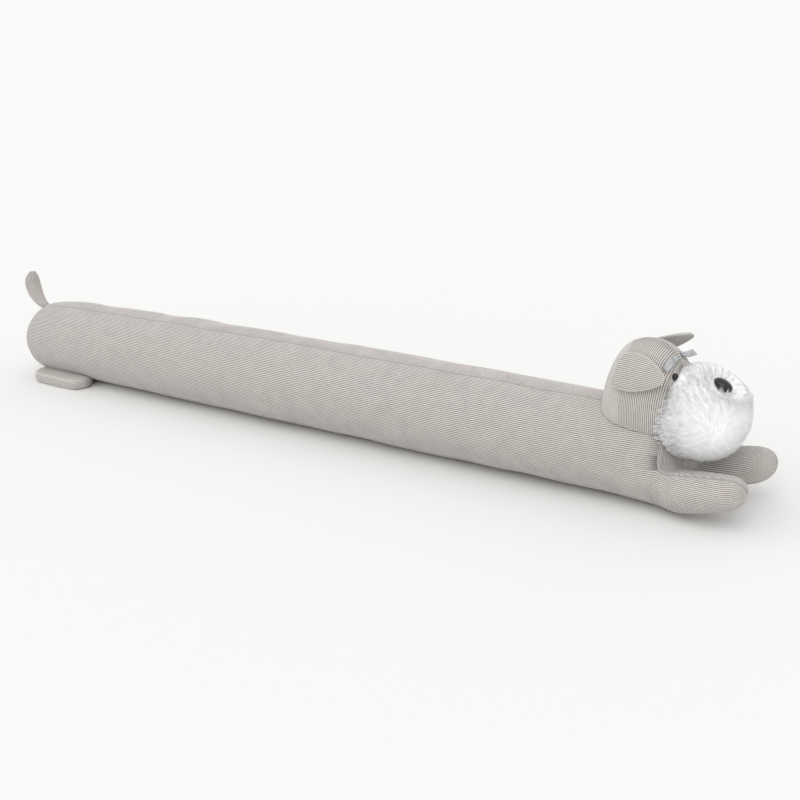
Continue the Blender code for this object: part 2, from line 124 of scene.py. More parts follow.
def ribbed_cord():
    """Fine cotton corduroy: pale brushed wales, dull and slightly furry. The dark grooves between the
    wales are painted shade, and the colour is darkened by painted shade at the seams.
    """
    made = bpy.data.materials.new("ribbed_cotton_cord")
    add = empty_tree(made)
    place = add("UVMap", uv_map="cloth")
    spot = add("TexCoord").outputs["Object"]
    sway = add("TexNoise", {"Vector": spot, "Scale": 1 / 0.02, "Detail": 2.0})
    ribs = add("SeparateXYZ", {"Vector": place})
    swayed = add("Math", {0: sway, 1: 0.16, 2: ribs}, operation="MULTIPLY_ADD")
    centred = add("Math", {0: swayed, 1: 0.08}, operation="SUBTRACT")
    from_groove = add("Math", {0: centred, 1: 0.5}, operation="PINGPONG")
    fibre_place = add("Mapping", {"Vector": place, "Scale": (3.2, 1.3, 1.0)})
    fibres = add("TexNoise", {"Vector": fibre_place, "Scale": 1.0, "Detail": 3.0,
                              "Roughness": 0.65})
    frayed = add("Math", {0: fibres, 1: 0.30, 2: from_groove}, operation="MULTIPLY_ADD")
    wale = add("MapRange", {"Value": frayed, "From Min": 0.17, "From Max": 0.47},
               interpolation_type="SMOOTHSTEP")
    # The dark groove colour is painted shade between the raised wales; the pale colour is the wales'
    # own.
    shaded_grooves = add("Mix", {"Factor": wale, "A": colour("#67615d"), "B": colour("#cdc8c3")},
                  data_type="RGBA")
    # The groove weight says how much of the painted groove shade shows; where it is low the cloth
    # takes its plain colour.
    groove_shade = add("Attribute", attribute_name="groove_shade").outputs["Fac"]
    with_groove_shade = add("Mix", {"Factor": groove_shade, "A": colour("#c0bcb7"), "B": shaded_grooves}, data_type="RGBA")
    tone = add("MapRange", {"Value": fibres, "From Min": 0.25, "From Max": 0.75,
                            "To Min": 0.86, "To Max": 1.12})
    mottle = add("TexNoise", {"Vector": spot, "Scale": 1 / 0.011, "Detail": 4.0, "Roughness": 0.6})
    cloud = add("MapRange", {"Value": mottle, "From Min": 0.3, "From Max": 0.7,
                             "To Min": 0.95, "To Max": 1.05})
    both = add("Math", {0: tone, 1: cloud}, operation="MULTIPLY")
    # The seam value darkens the colour to 0.6 of itself: painted shade in the seam grooves and beside
    # the crown seam.
    seam = add("Attribute", attribute_name="seam").outputs["Fac"]
    seam_groove = add("MapRange", {"Value": seam, "To Min": 1.0, "To Max": 0.6})
    dimmed = add("Math", {0: both, 1: seam_groove}, operation="MULTIPLY")
    shaded = add("VectorMath", {0: with_groove_shade, "Scale": dimmed}, operation="SCALE")
    height = add("Math", {0: wale, 1: 1.0, 2: fibres}, operation="MULTIPLY_ADD")
    bump = add("Bump", {"Height": height, "Strength": 0.5, "Distance": 0.0002})
    shader = add("BsdfPrincipled", {
        "Base Color": shaded, "Roughness": 0.93, "Specular IOR Level": 0.25, "Sheen Weight": 0.12,
        "Sheen Roughness": 0.6, "Normal": bump})
    add("OutputMaterial", {"Surface": shader})
    return made


CORD = ribbed_cord()


def cage_factor(count):
    """How much wider a cage ring of count corners is than the smooth ring inside it."""
    return 3 / (2 + math.cos(2 * math.pi / count))


def half_ring(bm, x, width, bottom, top, steps):
    """Corners of half an oval across X, from the top down the -Y side to the bottom."""
    factor = cage_factor(2 * steps)
    middle, half_height = (top + bottom) / 2, (top - bottom) / 2
    corners = []
    for k in range(steps + 1):
        angle = math.pi * k / steps
        y = -width / 2 * math.sin(angle) * factor
        z = middle + half_height * math.cos(angle) * factor
        corners.append(bm.verts.new((x, y, z)))
    corners[0].co.y = corners[-1].co.y = 0.0
    return corners


def new_cloth(*maps):
    """A bmesh with a map of the ribs, counted in ribs, and perhaps a map for baking."""
    bm = bmesh.new()
    for name in ("cloth", *maps):
        bm.loops.layers.uv.new(name)
    return bm


def lay_face(bm, corners, *places):
    """One face of cloth, with the places of its corners in each of its maps."""
    face = bm.faces.new(corners)
    for layer, placed in zip(bm.loops.layers.uv, places):
        for loop, place in zip(face.loops, placed):
            loop[layer].uv = place


def lay_strip(bm, first, second, *maps):
    """Cloth between two rows of corners. Each map gives the places of both rows."""
    for i in range(len(first) - 1):
        placed = [(rows[0][i], rows[0][i + 1], rows[1][i + 1], rows[1][i]) for rows in maps]
        lay_face(bm, (first[i], first[i + 1], second[i + 1], second[i]), *placed)


def sew(bm, line, sharpness):
    """Marks a line of corners as a seam and draws it in."""
    layer = bm.edges.layers.float.get("crease_edge") or bm.edges.layers.float.new("crease_edge")
    for first, second in zip(line, line[1:]):
        joint = bm.edges.get((first, second))
        joint[layer] = sharpness
        joint.seam = True


def lump(x):
    """How much the stuffing swells the tube: slightly uneven, and fuller behind."""
    wave = math.sin(x / LUMP_SPACING * 2 * math.pi)
    wave += 0.6 * math.sin(2.3 * x / LUMP_SPACING * math.pi + 1.0)
    behind = min(1.0, max(0.0, 1 + x / TUBE_LENGTH))
    return LUMP_HEIGHT * wave + REAR_SWELL * math.sin(math.pi * behind ** 0.7)


def tube_rows(bm):
    """The rounded rim of the end panel and the tube up to the fork of the legs."""
    rows = []
    for turn in (90, 62, 32):
        angle = math.radians(turn)
        inset = END_ROUND * (1 - math.cos(angle))
        x = REAR + END_ROUND * (1 - math.sin(angle))
        rows.append(half_ring(bm, x, TUBE_WIDTH - 2 * inset, inset, TUBE_HEIGHT - inset, RING_STEPS))
    straight = TUBE_LENGTH - END_ROUND
    count = round(straight / (LUMP_SPACING / 2.2))
    for i in range(count + 1):
        x = END_ROUND - TUBE_LENGTH + straight * i / count
        swell = lump(x)
        rows.append(half_ring(bm, FORK + x, TUBE_WIDTH + swell, 0.0, TUBE_HEIGHT + swell, RING_STEPS))
    for corner in rows[-1][1:SIDE + 1]:
        corner.co.y *= CHEST_WIDTH / TUBE_WIDTH
    rows[-1][SIDE].co.z = LEG_ROOT_HEIGHT
    for corner in rows[-1][:SIDE + 1]:
        corner.co.x += CHEST_SEAM_AHEAD
    return rows


def leg_ring(bm, along):
    """Corners round the near leg at a share of its reach, and its radius there."""
    paw_centre = PAW_LIFT + PAW_DIAMETER / 2
    radius = (LEG_ROOT_HEIGHT + (PAW_DIAMETER - LEG_ROOT_HEIGHT) * along) / 2
    y = -(LEG_ROOT_SPREAD + (PAW_SPREAD - LEG_ROOT_SPREAD) * along) / 2
    z = LEG_ROOT_HEIGHT / 2 + (paw_centre - LEG_ROOT_HEIGHT / 2) * along ** 1.15
    straight = LEG_REACH - PAW_DIAMETER / 2
    x = LEG_REACH * along
    if x > straight:
        past = (x - straight) / (PAW_DIAMETER / 2)
        radius *= math.sqrt(max(0.0, 1 - past ** 2))
    corners = []
    for start, end in zip(LEG_STOPS, LEG_STOPS[1:]):
        between = math.radians(end - start) / SIDE
        reach = radius * 3 / (2 + math.cos(between))
        for step in range(SIDE):
            angle = math.radians(start) + between * step
            corners.append(bm.verts.new((FORK + x, y + reach * math.cos(angle),
                                         z + reach * math.sin(angle))))
    return corners, radius


def leg_cloth(x, outer_step, inner_step):
    """Rib counts round the leg: the outer panel goes on from the tube, the inner starts anew."""
    middle = RIBS_PER_EDGE * (SIDE + 2) - LEG_RIB_SLANT * x / RIB
    outer = [(middle + (i - 2) * outer_step / RIB, x / RIB) for i in range(SIDE + 1)]
    inner = [(i * inner_step / RIB, x / RIB) for i in range(2 * SIDE + 1)]
    return outer, inner


def leg_bake(along):
    line = [(0.5 * i / (3 * SIDE), BAKE_LEG + (1 - BAKE_LEG) * along) for i in range(3 * SIDE + 1)]
    return line[:SIDE + 1], line[SIDE:]


def body_cage():
    """The near half of the skin, with its seams and its maps."""
    bm = new_cloth("OFBake")
    rows = tube_rows(bm)
    last = len(rows) - 1
    bake = [[(k / (2 * RING_STEPS), BAKE_END + (BAKE_TUBE - BAKE_END) * i / last)
             for k in range(RING_STEPS + 1)] for i in range(last + 1)]
    upright = [[(corner.co.y / RIB, corner.co.z / RIB) for corner in row] for row in rows[:3]]
    round_tube = [[(RIBS_PER_EDGE * k, (row[0].co.x - REAR) / RIB) for k in range(RING_STEPS + 1)]
                  for row in rows]
    pole = bm.verts.new((REAR, 0, TUBE_CENTRE))
    for k in range(RING_STEPS):
        lay_face(bm, (pole, rows[0][k], rows[0][k + 1]),
                 ((0, TUBE_CENTRE / RIB), upright[0][k], upright[0][k + 1]),
                 (((k + 0.5) / (2 * RING_STEPS), 0.0), bake[0][k], bake[0][k + 1]))
    for i in range(last):
        cloth = upright[i:i + 2] if i < 2 else round_tube[i:i + 2]
        lay_strip(bm, rows[i], rows[i + 1], cloth, bake[i:i + 2])

    ring = rows[-1]
    upper = ring[:SIDE + 1]
    edge, middle = [], []
    for j in range(SIDE):
        across = j / SIDE
        ahead = FORK + CHEST_BULGE * (1 - across ** 2)
        y = ring[SIDE].co.y * across
        edge.append(bm.verts.new((ahead, y, LEG_ROOT_HEIGHT)))
        middle.append(bm.verts.new((ahead, y, (LEG_ROOT_HEIGHT + upper[j].co.z) / 2)))
    cloth = [[(corner.co.y / RIB, corner.co.z / RIB) for corner in row]
             for row in (upper, middle, edge)]
    bake = [[(0.5 * j / SIDE, v) for j in range(SIDE + 1)] for v in BAKE_CHEST]
    lay_strip(bm, upper[:SIDE], middle, cloth[:2], bake[:2])
    lay_strip(bm, middle, edge, cloth[1:], bake[1:])
    lay_face(bm, (upper[SIDE - 1], upper[SIDE], middle[SIDE - 1]),
             (cloth[0][SIDE - 1], cloth[0][SIDE], cloth[1][SIDE - 1]),
             (bake[0][SIDE - 1], bake[0][SIDE], bake[1][SIDE - 1]))
    lay_face(bm, (middle[SIDE - 1], upper[SIDE], edge[SIDE - 1]),
             (cloth[1][SIDE - 1], cloth[0][SIDE], cloth[2][SIDE - 1]),
             (bake[1][SIDE - 1], bake[1][SIDE], bake[2][SIDE - 1]))

    floor, top = ring[RING_STEPS].co, edge[0].co
    crotch = [bm.verts.new(floor.lerp(top, share)) for share in (0.25, 0.5, 0.75)]
    ring = ring[SIDE:] + crotch + edge
    cloth = leg_cloth(0, RIBS_PER_EDGE * RIB, LEG_ROOT_HEIGHT / SIDE)
    cloth = ([(u, TUBE_LENGTH / RIB) for u, v in cloth[0]], cloth[1])
    bake = leg_bake(0)
    leg_top = [ring[0]]
    for along in (0.22, 0.45, 0.66, 0.82, 0.93, 0.985):
        following, radius = leg_ring(bm, along)
        outside = math.radians(LEG_STOPS[1] - LEG_STOPS[0])
        next_cloth = leg_cloth(LEG_REACH * along, radius * outside / SIDE,
                               radius * (2 * math.pi - outside) / (2 * SIDE))
        next_cloth = ([(u, v + TUBE_LENGTH / RIB) for u, v in next_cloth[0]], next_cloth[1])
        next_bake = leg_bake(along)
        lay_strip(bm, ring[:SIDE + 1], following[:SIDE + 1], (cloth[0], next_cloth[0]),
                  (bake[0], next_bake[0]))
        lay_strip(bm, ring[SIDE:] + ring[:1], following[SIDE:] + following[:1],
                  (cloth[1], next_cloth[1]), (bake[1], next_bake[1]))
        ring, cloth, bake = following, next_cloth, next_bake
        leg_top.append(ring[0])
    tip = bm.verts.new((FORK + LEG_REACH * 0.9975, sum(c.co.y for c in ring) / len(ring),
                        sum(c.co.z for c in ring) / len(ring)))
    places = cloth[0] + cloth[1][1:]
    baked = bake[0] + bake[1][1:]
    for i in range(3 * SIDE):
        middle_place = (sum(p[0] for p in cloth[0]) / len(cloth[0]) if i < SIDE else
                        sum(p[0] for p in cloth[1]) / len(cloth[1]), places[i][1] + 0.6)
        start = cloth[0][i] if i < SIDE else cloth[1][i - SIDE]
        end = cloth[0][i + 1] if i < SIDE else cloth[1][i - SIDE + 1]
        lay_face(bm, (tip, ring[i], ring[(i + 1) % len(ring)]), (middle_place, start, end),
                 ((baked[i][0] + 0.25 / SIDE / 3, 1.0), baked[i], baked[i + 1]))
    leg_top.append(tip)
    sew(bm, rows[2], 0.45)
    sew(bm, rows[-1][:SIDE + 1], 0.7)
    sew(bm, leg_top, 0.35)
    bmesh.ops.translate(bm, verts=bm.verts, vec=(0, 0, -FLOOR_SINK))
    bmesh.ops.recalc_face_normals(bm, faces=bm.faces)
    return bm


def new_object(name, data):
    made = bpy.data.objects.new(name, data)
    bpy.context.scene.collection.objects.link(made)
    return made


def plain_shape(add_shape, name, **settings):
    """A new object, made by one of the operators for basic shapes."""
    bpy.ops.object.select_all(action="DESELECT")
    add_shape(**settings)
    made = bpy.context.active_object
    made.name = name
    return made


def cloth_object(name, bm, mirrored=True, levels=2):
    """An object from a cage of cloth, mirrored to its far half and rounded by the stuffing."""
    mesh = bpy.data.meshes.new(name)
    bm.to_mesh(mesh)
    bm.free()
    made = new_object(name, mesh)
    if mirrored:
        half = made.modifiers.new("far_half", "MIRROR")
        half.use_axis = (False, True, False)
        half.use_clip = True
        half.use_mirror_u = True
        half.merge_threshold = 0.0001
    stuffed = made.modifiers.new("stuffed", "SUBSURF")
    stuffed.levels = stuffed.render_levels = levels
    apply_modifiers(made)
    return made


def apply_modifiers(obj):
    bpy.ops.object.select_all(action="DESELECT")
    bpy.context.view_layer.objects.active = obj
    obj.select_set(True)
    for modifier in list(obj.modifiers):
        bpy.ops.object.modifier_apply(modifier=modifier.name)


def plain_copy(obj, name, grow):
    """A copy of a form, larger by grow all round, for cutting and for laying pieces on."""
    copy = new_object(name, obj.data.copy())
    if grow:
        swell = copy.modifiers.new("swell", "DISPLACE")
        swell.strength, swell.mid_level = grow, 0.0
        apply_modifiers(copy)
    return copy


def cut_across(obj, cuts, layer, allowed):
    """Adds corners on the edges that run across the ribs, where their middle is allowed."""
    bm = bmesh.new()
    bm.from_mesh(obj.data)
    places = bm.loops.layers.uv[layer]
    chosen = []
    for line in bm.edges:
        loop = line.link_loops[0]
        first, second = loop[places].uv, loop.link_loop_next[places].uv
        across, along = abs(first.x - second.x), abs(first.y - second.y)
        if across > along and allowed((line.verts[0].co + line.verts[1].co) / 2):
            chosen.append(line)
    bmesh.ops.subdivide_edges(bm, edges=chosen, cuts=cuts, use_grid_fill=True)
    bm.to_mesh(obj.data)
    bm.free()


def mesh_arrays(mesh):
    """Corner places, corner normals, and the rib count at each corner."""
    count = len(mesh.vertices)
    places = np.zeros(count * 3, np.float32)
    mesh.vertices.foreach_get("co", places)
    normals = np.zeros(count * 3, np.float32)
    mesh.vertex_normals.foreach_get("vector", normals)
    index = np.zeros(len(mesh.loops), np.int32)
    mesh.loops.foreach_get("vertex_index", index)
    ribs = np.zeros(len(mesh.loops) * 2, np.float32)
    mesh.uv_layers["cloth"].data.foreach_get("uv", ribs)
    at_corner = np.zeros((count, 2))
    at_corner[index] = ribs.reshape(-1, 2)
    return (places.reshape(-1, 3).astype(float), normals.reshape(-1, 3).astype(float),
            at_corner)


def move_corners(mesh, places):
    mesh.vertices.foreach_set("co", places.astype(np.float32).ravel())
    mesh.update()


def seam_lines(mesh):
    """Points every millimetre along the edges that are marked as seams."""
    points = []
    for line in mesh.edges:
        if line.use_seam:
            start, end = (mesh.vertices[i].co for i in line.vertices)
            steps = max(1, round((end - start).length / 0.001))
            points.extend(start.lerp(end, i / steps) for i in range(steps))
    return points


def nearest(points, places):
    """For each place the index of the nearest of the points, and its distance."""
    tree = KDTree(len(points))
    for i, point in enumerate(points):
        tree.insert(point, i)
    tree.balance()
    found = [tree.find(place)[1:] for place in places]
    return np.array([index for index, _ in found]), np.array([away for _, away in found])


SEAM_WIDTH = 0.0011
SEAM_DEPTH = 0.0008
SEAM_REACH = 0.006


def rib_profile(ribs):
    """Height of the cloth by its rib count: broad round wales and narrow grooves."""
    return np.sqrt(np.abs(np.sin(np.pi * ribs)))


def press_ribs(obj, seams, ribbed, groove_shade, lumps=0.0, shaded=0.0):
    """Raises the ribs and draws in the seams of a finished form.

    ribbed and the groove weight after it are 0 to 1 for each corner: how high its ribs stand and
    how far the painted shade in its grooves shows. lumps is the height of the unevenness of the
    stuffing, and shaded is painted shade: how far the colour is darkened where the cloth turns in
    beside a seam.
    """
    mesh = obj.data
    places, normals, ribs = mesh_arrays(mesh)
    away = np.minimum(SEAM_REACH, nearest(seams, places)[1])
    pulled = np.exp(-(away / SEAM_WIDTH) ** 2)
    beside = np.clip(away / (2.2 * SEAM_WIDTH), 0, 1)
    height = RIB_HEIGHT * (rib_profile(ribs[:, 0]) - 1) * ribbed * beside - SEAM_DEPTH * pulled
    if lumps:
        height += lumps * np.array([noise.noise(Vector(p) / 0.045) for p in places])
    move_corners(mesh, places + normals * height[:, None])
    store(mesh, "groove_shade", groove_shade * (0.4 + 0.6 * beside))
    # Painted shade: the seam value darkens the colour in the seam groove and, by shaded, beside a
    # seam
    store(mesh, "seam", np.maximum(np.exp(-(away / (0.8 * SEAM_WIDTH)) ** 2), shaded))


def store(mesh, name, values):
    """Keeps a value at each corner: the groove weight is how clearly the painted shade in the
    grooves between the ribs shows, and seam how much painted shade darkens the cloth at and beside a
    seam."""
    layer = mesh.attributes.new(name, "FLOAT", "POINT")
    layer.data.foreach_set("value", values.astype(np.float32))


def smooth_step(low, high, value):
    share = np.clip((value - low) / (high - low), 0, 1)
    return share * share * (3 - 2 * share)


def finish_piece(obj, surface, slot, *nodes):
    """Shades a piece smooth, gives it its material and hangs it on the frame."""
    obj.data.materials.clear()
    obj.data.materials.append(surface)
    obj.data.shade_smooth()
    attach(obj, "root")
    if nodes:
        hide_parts(*nodes)


# Ribs from the middle of the back to the two long seams
BACK_SEAM = 6
BELLY_SEAM = 62
# Unevenness of the stuffed skin, and the height below which it is pressed flat on the floor
BODY_LUMPS = 0.0012
PRESSED_FLAT = 0.0009
# On the middle of the chest, above the legs, the ribs are flattened and the grooves are left out of
# the colour: a painted highlight where light catches the bulge of the chest
FLAT_LIT_CHEST = (0.019, 0.012)
FLAT_LIT_CHEST_ABOVE = 0.03


def make_body():
    body = cloth_object("body_skin", body_cage(), levels=2)
    form = plain_copy(body, "body_form", SEAT_GAP)
    cut_across(body, RIBS_PER_EDGE - 1, "OFBake",
               lambda middle: middle.x > REAR + 0.0004 and middle.z > 0.006)
    places, _, ribs = mesh_arrays(body.data)
    near = places[:, 1] < 0.0005
    on_tube = (places[:, 0] > REAR + END_ROUND * 0.5) & (places[:, 0] < FORK - 0.002)
    seams = seam_lines(body.data)
    for count in (BACK_SEAM, BELLY_SEAM):
        line = places[near & on_tube & (np.abs(ribs[:, 0] - count) < 0.05)]
        line = line[np.argsort(line[:, 0])]
        for start, end in zip(line, line[1:]):
            steps = max(1, round(np.linalg.norm(end - start) / 0.001))
            seams.extend(Vector(start + (end - start) * i / steps) for i in range(steps))
    turned = np.degrees(np.arctan2(np.abs(places[:, 1]), places[:, 2] - TUBE_CENTRE))
    # Low on the sides and underneath, the ribs stand lower and less painted groove shade shows:
    # painted light, the cloth painted paler as if lit from below
    under = smooth_step(128, 150, turned)
    end_panel = smooth_step(REAR + END_ROUND * 0.50, REAR + END_ROUND * 0.42, places[:, 0])
    leg = smooth_step(FORK, FORK + 0.01, places[:, 0])
    chest = (places[:, 0] > FORK) & (places[:, 0] < FORK + 0.02) & (places[:, 2] > FLAT_LIT_CHEST_ABOVE)
    # Painted highlight on the chest: flatter ribs and no painted groove shade there
    flat_lit_chest = 0.92 * chest * smooth_step(*FLAT_LIT_CHEST, np.abs(places[:, 1]))
    ribbed = (1 - end_panel) * (1 - 0.6 * under * (1 - leg)) * (1 - flat_lit_chest)
    groove_shade = (1 - 0.55 * under * (1 - leg)) * (1 - 0.35 * end_panel) * (1 - flat_lit_chest)
    press_ribs(body, seams, ribbed, groove_shade, lumps=BODY_LUMPS)
    places, _, _ = mesh_arrays(body.data)
    low = places[:, 2] < PRESSED_FLAT
    places[low, 2] = np.maximum(0.0, PRESSED_FLAT * np.exp(places[low, 2] / PRESSED_FLAT - 1))
    move_corners(body.data, places)
    finish_piece(body, CORD, "ribbed_cord", "body")
    return form


body_form = make_body()


# Head: a dome of the same cord. Its side panels are cut with the ribs upright, so that they
# run up the sides, over the top and meet at the centre seam. It is stuffed and sewn on
# above the chest. The back of the skull is brushed nearly smooth.
HEAD_WIDTH = 0.075
HEAD_LENGTH = 0.0725
HEAD_TOP = 0.1508
HEAD_FRONT = 0.009
HEAD_STEPS = 7
SMOOTH_BACK = 0.026
RIB_LEAN = 0.12
# Share of the length, of the width, and of the height above the tube's centre
HEAD_STATIONS = ((0.0, 0.40, 0.52), (0.05, 0.64, 0.67), (0.20, 0.88, 0.90), (0.42, 1.0, 0.985),
                 (0.66, 1.0, 1.0), (0.84, 0.945, 0.945), (0.96, 0.86, 0.845), (1.0, 0.70, 0.72))
HEAD_BACK = FORK + HEAD_FRONT - HEAD_LENGTH
FACE_SEAM = HEAD_BACK + HEAD_LENGTH * HEAD_STATIONS[-2][0]


def close_panel(bm, row, places):
    """A flat panel laid across a row, from its first and last corners inwards."""
    low, high = 0, len(row) - 1
    while high - low > 2:
        order = (low, low + 1, high - 1, high)
        lay_face(bm, [row[i] for i in order], [places[i] for i in order])
        low, high = low + 1, high - 1


def head_cage():
    bm = new_cloth()
    tall = HEAD_TOP - TUBE_CENTRE
    rows, arches, faces = [], [], []
    for share, wide, high in HEAD_STATIONS:
        x = HEAD_BACK + HEAD_LENGTH * share
        row = half_ring(bm, x, HEAD_WIDTH * wide, TUBE_CENTRE, TUBE_CENTRE + tall * high, HEAD_STEPS)
        rows.append(row)
        arches.append([((x - HEAD_BACK) / RIB, 8.8 * k) for k in range(HEAD_STEPS + 1)])
        faces.append([(corner.co.y / RIB, corner.co.z / RIB) for corner in row])
    close_panel(bm, rows[0], faces[0])
    close_panel(bm, rows[-1], faces[-1])
    for i in range(len(rows) - 1):
        maps = faces if i == len(rows) - 2 else arches
        lay_strip(bm, rows[i], rows[i + 1], maps[i:i + 2])
    sew(bm, [row[0] for row in rows], 0.4)
    sew(bm, rows[-2], 0.5)
    bmesh.ops.recalc_face_normals(bm, faces=bm.faces)
    return bm


def cut_by(obj, *forms):
    """Trims a piece where it is sewn against other forms."""
    for form in forms:
        trim = obj.modifiers.new("trim", "BOOLEAN")
        trim.operation, trim.object = "DIFFERENCE", form
    apply_modifiers(obj)


HEAD_LUMPS = 0.0007
EYE_LEVEL = 0.12
# Width of the painted shade beside the crown seam
CROWN_SHADE = 0.007


def make_head():
    head = cloth_object("head_skin", head_cage(), levels=3)
    form = plain_copy(head, "head_form", 0.0)
    layer = head.data.uv_layers["cloth"].data
    for face in head.data.polygons:
        if face.center.y < 0 and face.center.x < FACE_SEAM:
            for i in face.loop_indices:
                layer[i].uv.x += RIB_LEAN * layer[i].uv.y
    cut_across(head, 4, "cloth", lambda middle: middle.x < FACE_SEAM - 0.0002)
    places, _, _ = mesh_arrays(head.data)
    seams = seam_lines(head.data)
    from_back = places[:, 0] - HEAD_BACK
    behind = smooth_step(SMOOTH_BACK + 0.0025, SMOOTH_BACK - 0.0025, from_back)
    front = places[:, 0] > FACE_SEAM
    far = smooth_step(-0.001, 0.001, places[:, 1])
    ribbed = (1 - 0.85 * behind) * np.where(front, 0.3, 1.0)
    # On the face panel only half the painted groove shade shows: painted light on the shaded face
    groove_shade = (1 - 0.92 * behind) * (1 - 0.3 * far) * np.where(front, 0.5, 1.0)
    # Beside the crown seam on the near side the colour is darkened: painted shade where the side
    # panel turns under
    crown_shade_band = np.exp(-(places[:, 1] / CROWN_SHADE) ** 2) * (1 - far) * (places[:, 2] > EYE_LEVEL)
    press_ribs(head, seams, ribbed, groove_shade, lumps=HEAD_LUMPS, shaded=0.5 * crown_shade_band * (1 - behind))
    cut_by(head, body_form)
    finish_piece(head, CORD, "ribbed_cord", "head")
    return form


head_form = make_head()


def surface_of(obj):
    return BVHTree.FromObject(obj, bpy.context.evaluated_depsgraph_get())


bpy.context.view_layer.update()
HEAD_SURFACE = surface_of(head_form)


# Ears: each is two layers of cord, sewn round, turned and pressed, with its root caught
# upright in a seam of the head. The near one lies forward over the side of the head, the
# far one stands out to its side. A turned edge runs round each like a piping.
SHEET_SEAT = 0.0011
ROOT_SEAT = 0.0005
EAR_LENGTH = 0.054
EAR_WIDTH = 0.037
EAR_THICKNESS = 0.0034
EAR_BASE_HEIGHT = 0.127
EAR_BASE_BACK = 0.043
EAR_BASE_OUT = 0.36
EAR_ROOT_SLANT = 0.07
EAR_OUTWARD = 0.006
EAR_FREE_SPLAY = 0.015
EAR_EDGE = 0.0023
SIDES = {"right": -1, "left": 1}
# Tilt, splay and rise of each ear, and how much of its length shows
EAR_POSES = {"right": (math.radians(38), 0.005, 0.001, 1.0),
             "left": (math.radians(58), 0.026, 0.019, 0.88)}


def lay_sheet(name, outline, length, thickness, root, along, across, hold, levels, slant=0.0):
    """A flat sewn piece that starts laid on the head and runs out to its own plane."""
    sheet = plain_shape(bpy.ops.mesh.primitive_grid_add, name, x_subdivisions=6, y_subdivisions=4,
                        size=1, calc_uvs=False)
    layer = sheet.data.uv_layers.new(name="cloth")
    flat = [corner.co.copy() for corner in sheet.data.vertices]
    for loop in sheet.data.loops:
        share, side = flat[loop.vertex_index].x + 0.5, 2 * flat[loop.vertex_index].y
        layer.data[loop.index].uv = (side * outline(share) / RIB, share * length / RIB)
    for corner, spot in zip(sheet.data.vertices, flat):
        share, side = spot.x + 0.5, 2 * spot.y
        ahead = share - slant * side * (1.0 - share)
        free = root + along * ahead + across * side * outline(share)
        near, normal, _, _ = HEAD_SURFACE.find_nearest(free)
        seat = SHEET_SEAT if share > 0.01 else ROOT_SEAT
        height = max(seat, (free - near).dot(normal) * (1.0 - hold(share)))
        corner.co = near + normal * height
    outward = sum((face.normal for face in sheet.data.polygons), Vector())
    if outward.dot(root - Vector((root.x, 0, TUBE_CENTRE))) < 0:
        sheet.data.flip_normals()
    layers = sheet.modifiers.new("layers", "SOLIDIFY")
    layers.thickness, layers.offset = thickness, 1.0
    rounded = sheet.modifiers.new("rounded", "SUBSURF")
    rounded.levels = rounded.render_levels = levels
    apply_modifiers(sheet)
    return sheet


def ear_outline(share):
    """Half width of the ear: a leaf, full near its middle and rounded at the tip."""
    return EAR_WIDTH / 2 * math.sin(math.pi * (0.30 + 0.66 * share)) ** 0.8


def slant_rolled_ribs(mesh):
    """Turns the ribs aslant on the lower edge of an ear, where the cloth is rolled over."""
    layer = mesh.uv_layers["cloth"].data
    for face in mesh.polygons:
        spots = [layer[i].uv.copy() for i in face.loop_indices]
        edges = [ear_outline(max(0.0, min(1.0, spot.y * RIB / EAR_LENGTH))) - spot.x * RIB
                 for spot in spots]
        if sum(edges) / len(edges) < EAR_EDGE:
            for i, spot, edge in zip(face.loop_indices, spots, edges):
                layer[i].uv = (spot.y * 0.9 + 1.2 * edge / RIB, edge / RIB)


def make_ear(label, side):
    tilt, splay, rise, shown = EAR_POSES[label]
    root = Vector((FORK - EAR_BASE_BACK, side * HEAD_WIDTH * EAR_BASE_OUT, EAR_BASE_HEIGHT))
    along = Vector((EAR_LENGTH, side * (EAR_OUTWARD + splay), rise)).normalized() * EAR_LENGTH * shown
    across = Vector((0.0, side * math.sin(tilt), -math.cos(tilt)))
    ear = lay_sheet("ear_leaf_" + label, ear_outline, EAR_LENGTH, EAR_THICKNESS, root, along, across,
                    lambda share: max(0.0, 1.0 - (splay / EAR_FREE_SPLAY + 0.3) * share), 3,
                    EAR_ROOT_SLANT)
    cut_across(ear, 2, "cloth", lambda middle: True)
    places, normals, ribs = mesh_arrays(ear.data)
    share = np.clip(ribs[:, 1] * RIB / EAR_LENGTH, 0, 1)
    half = np.array([ear_outline(s) for s in share])
    to_edge = np.minimum(half - np.abs(ribs[:, 0] * RIB), (1 - share) * EAR_LENGTH)
    lower = smooth_step(-0.2, 0.2, ribs[:, 0])
    seam_groove = np.exp(-((to_edge - EAR_EDGE) / 0.0006) ** 2) * (0.4 + 0.6 * lower)
    rolled = np.exp(-((to_edge - 0.4 * EAR_EDGE) / 0.0009) ** 2) * lower
    inside = smooth_step(EAR_EDGE - 0.0004, EAR_EDGE + 0.0006, to_edge)
    height = RIB_HEIGHT * (rib_profile(ribs[:, 0]) - 1) * inside - 0.0005 * seam_groove + 0.0006 * rolled
    move_corners(ear.data, places + normals * height[:, None])
    store(ear.data, "groove_shade", np.maximum(inside, 0.3 + 0.5 * lower))
    slant_rolled_ribs(ear.data)
    finish_piece(ear, CORD, "ribbed_cord", "ear_" + label)


for label, side in SIDES.items():
    make_ear(label, side)


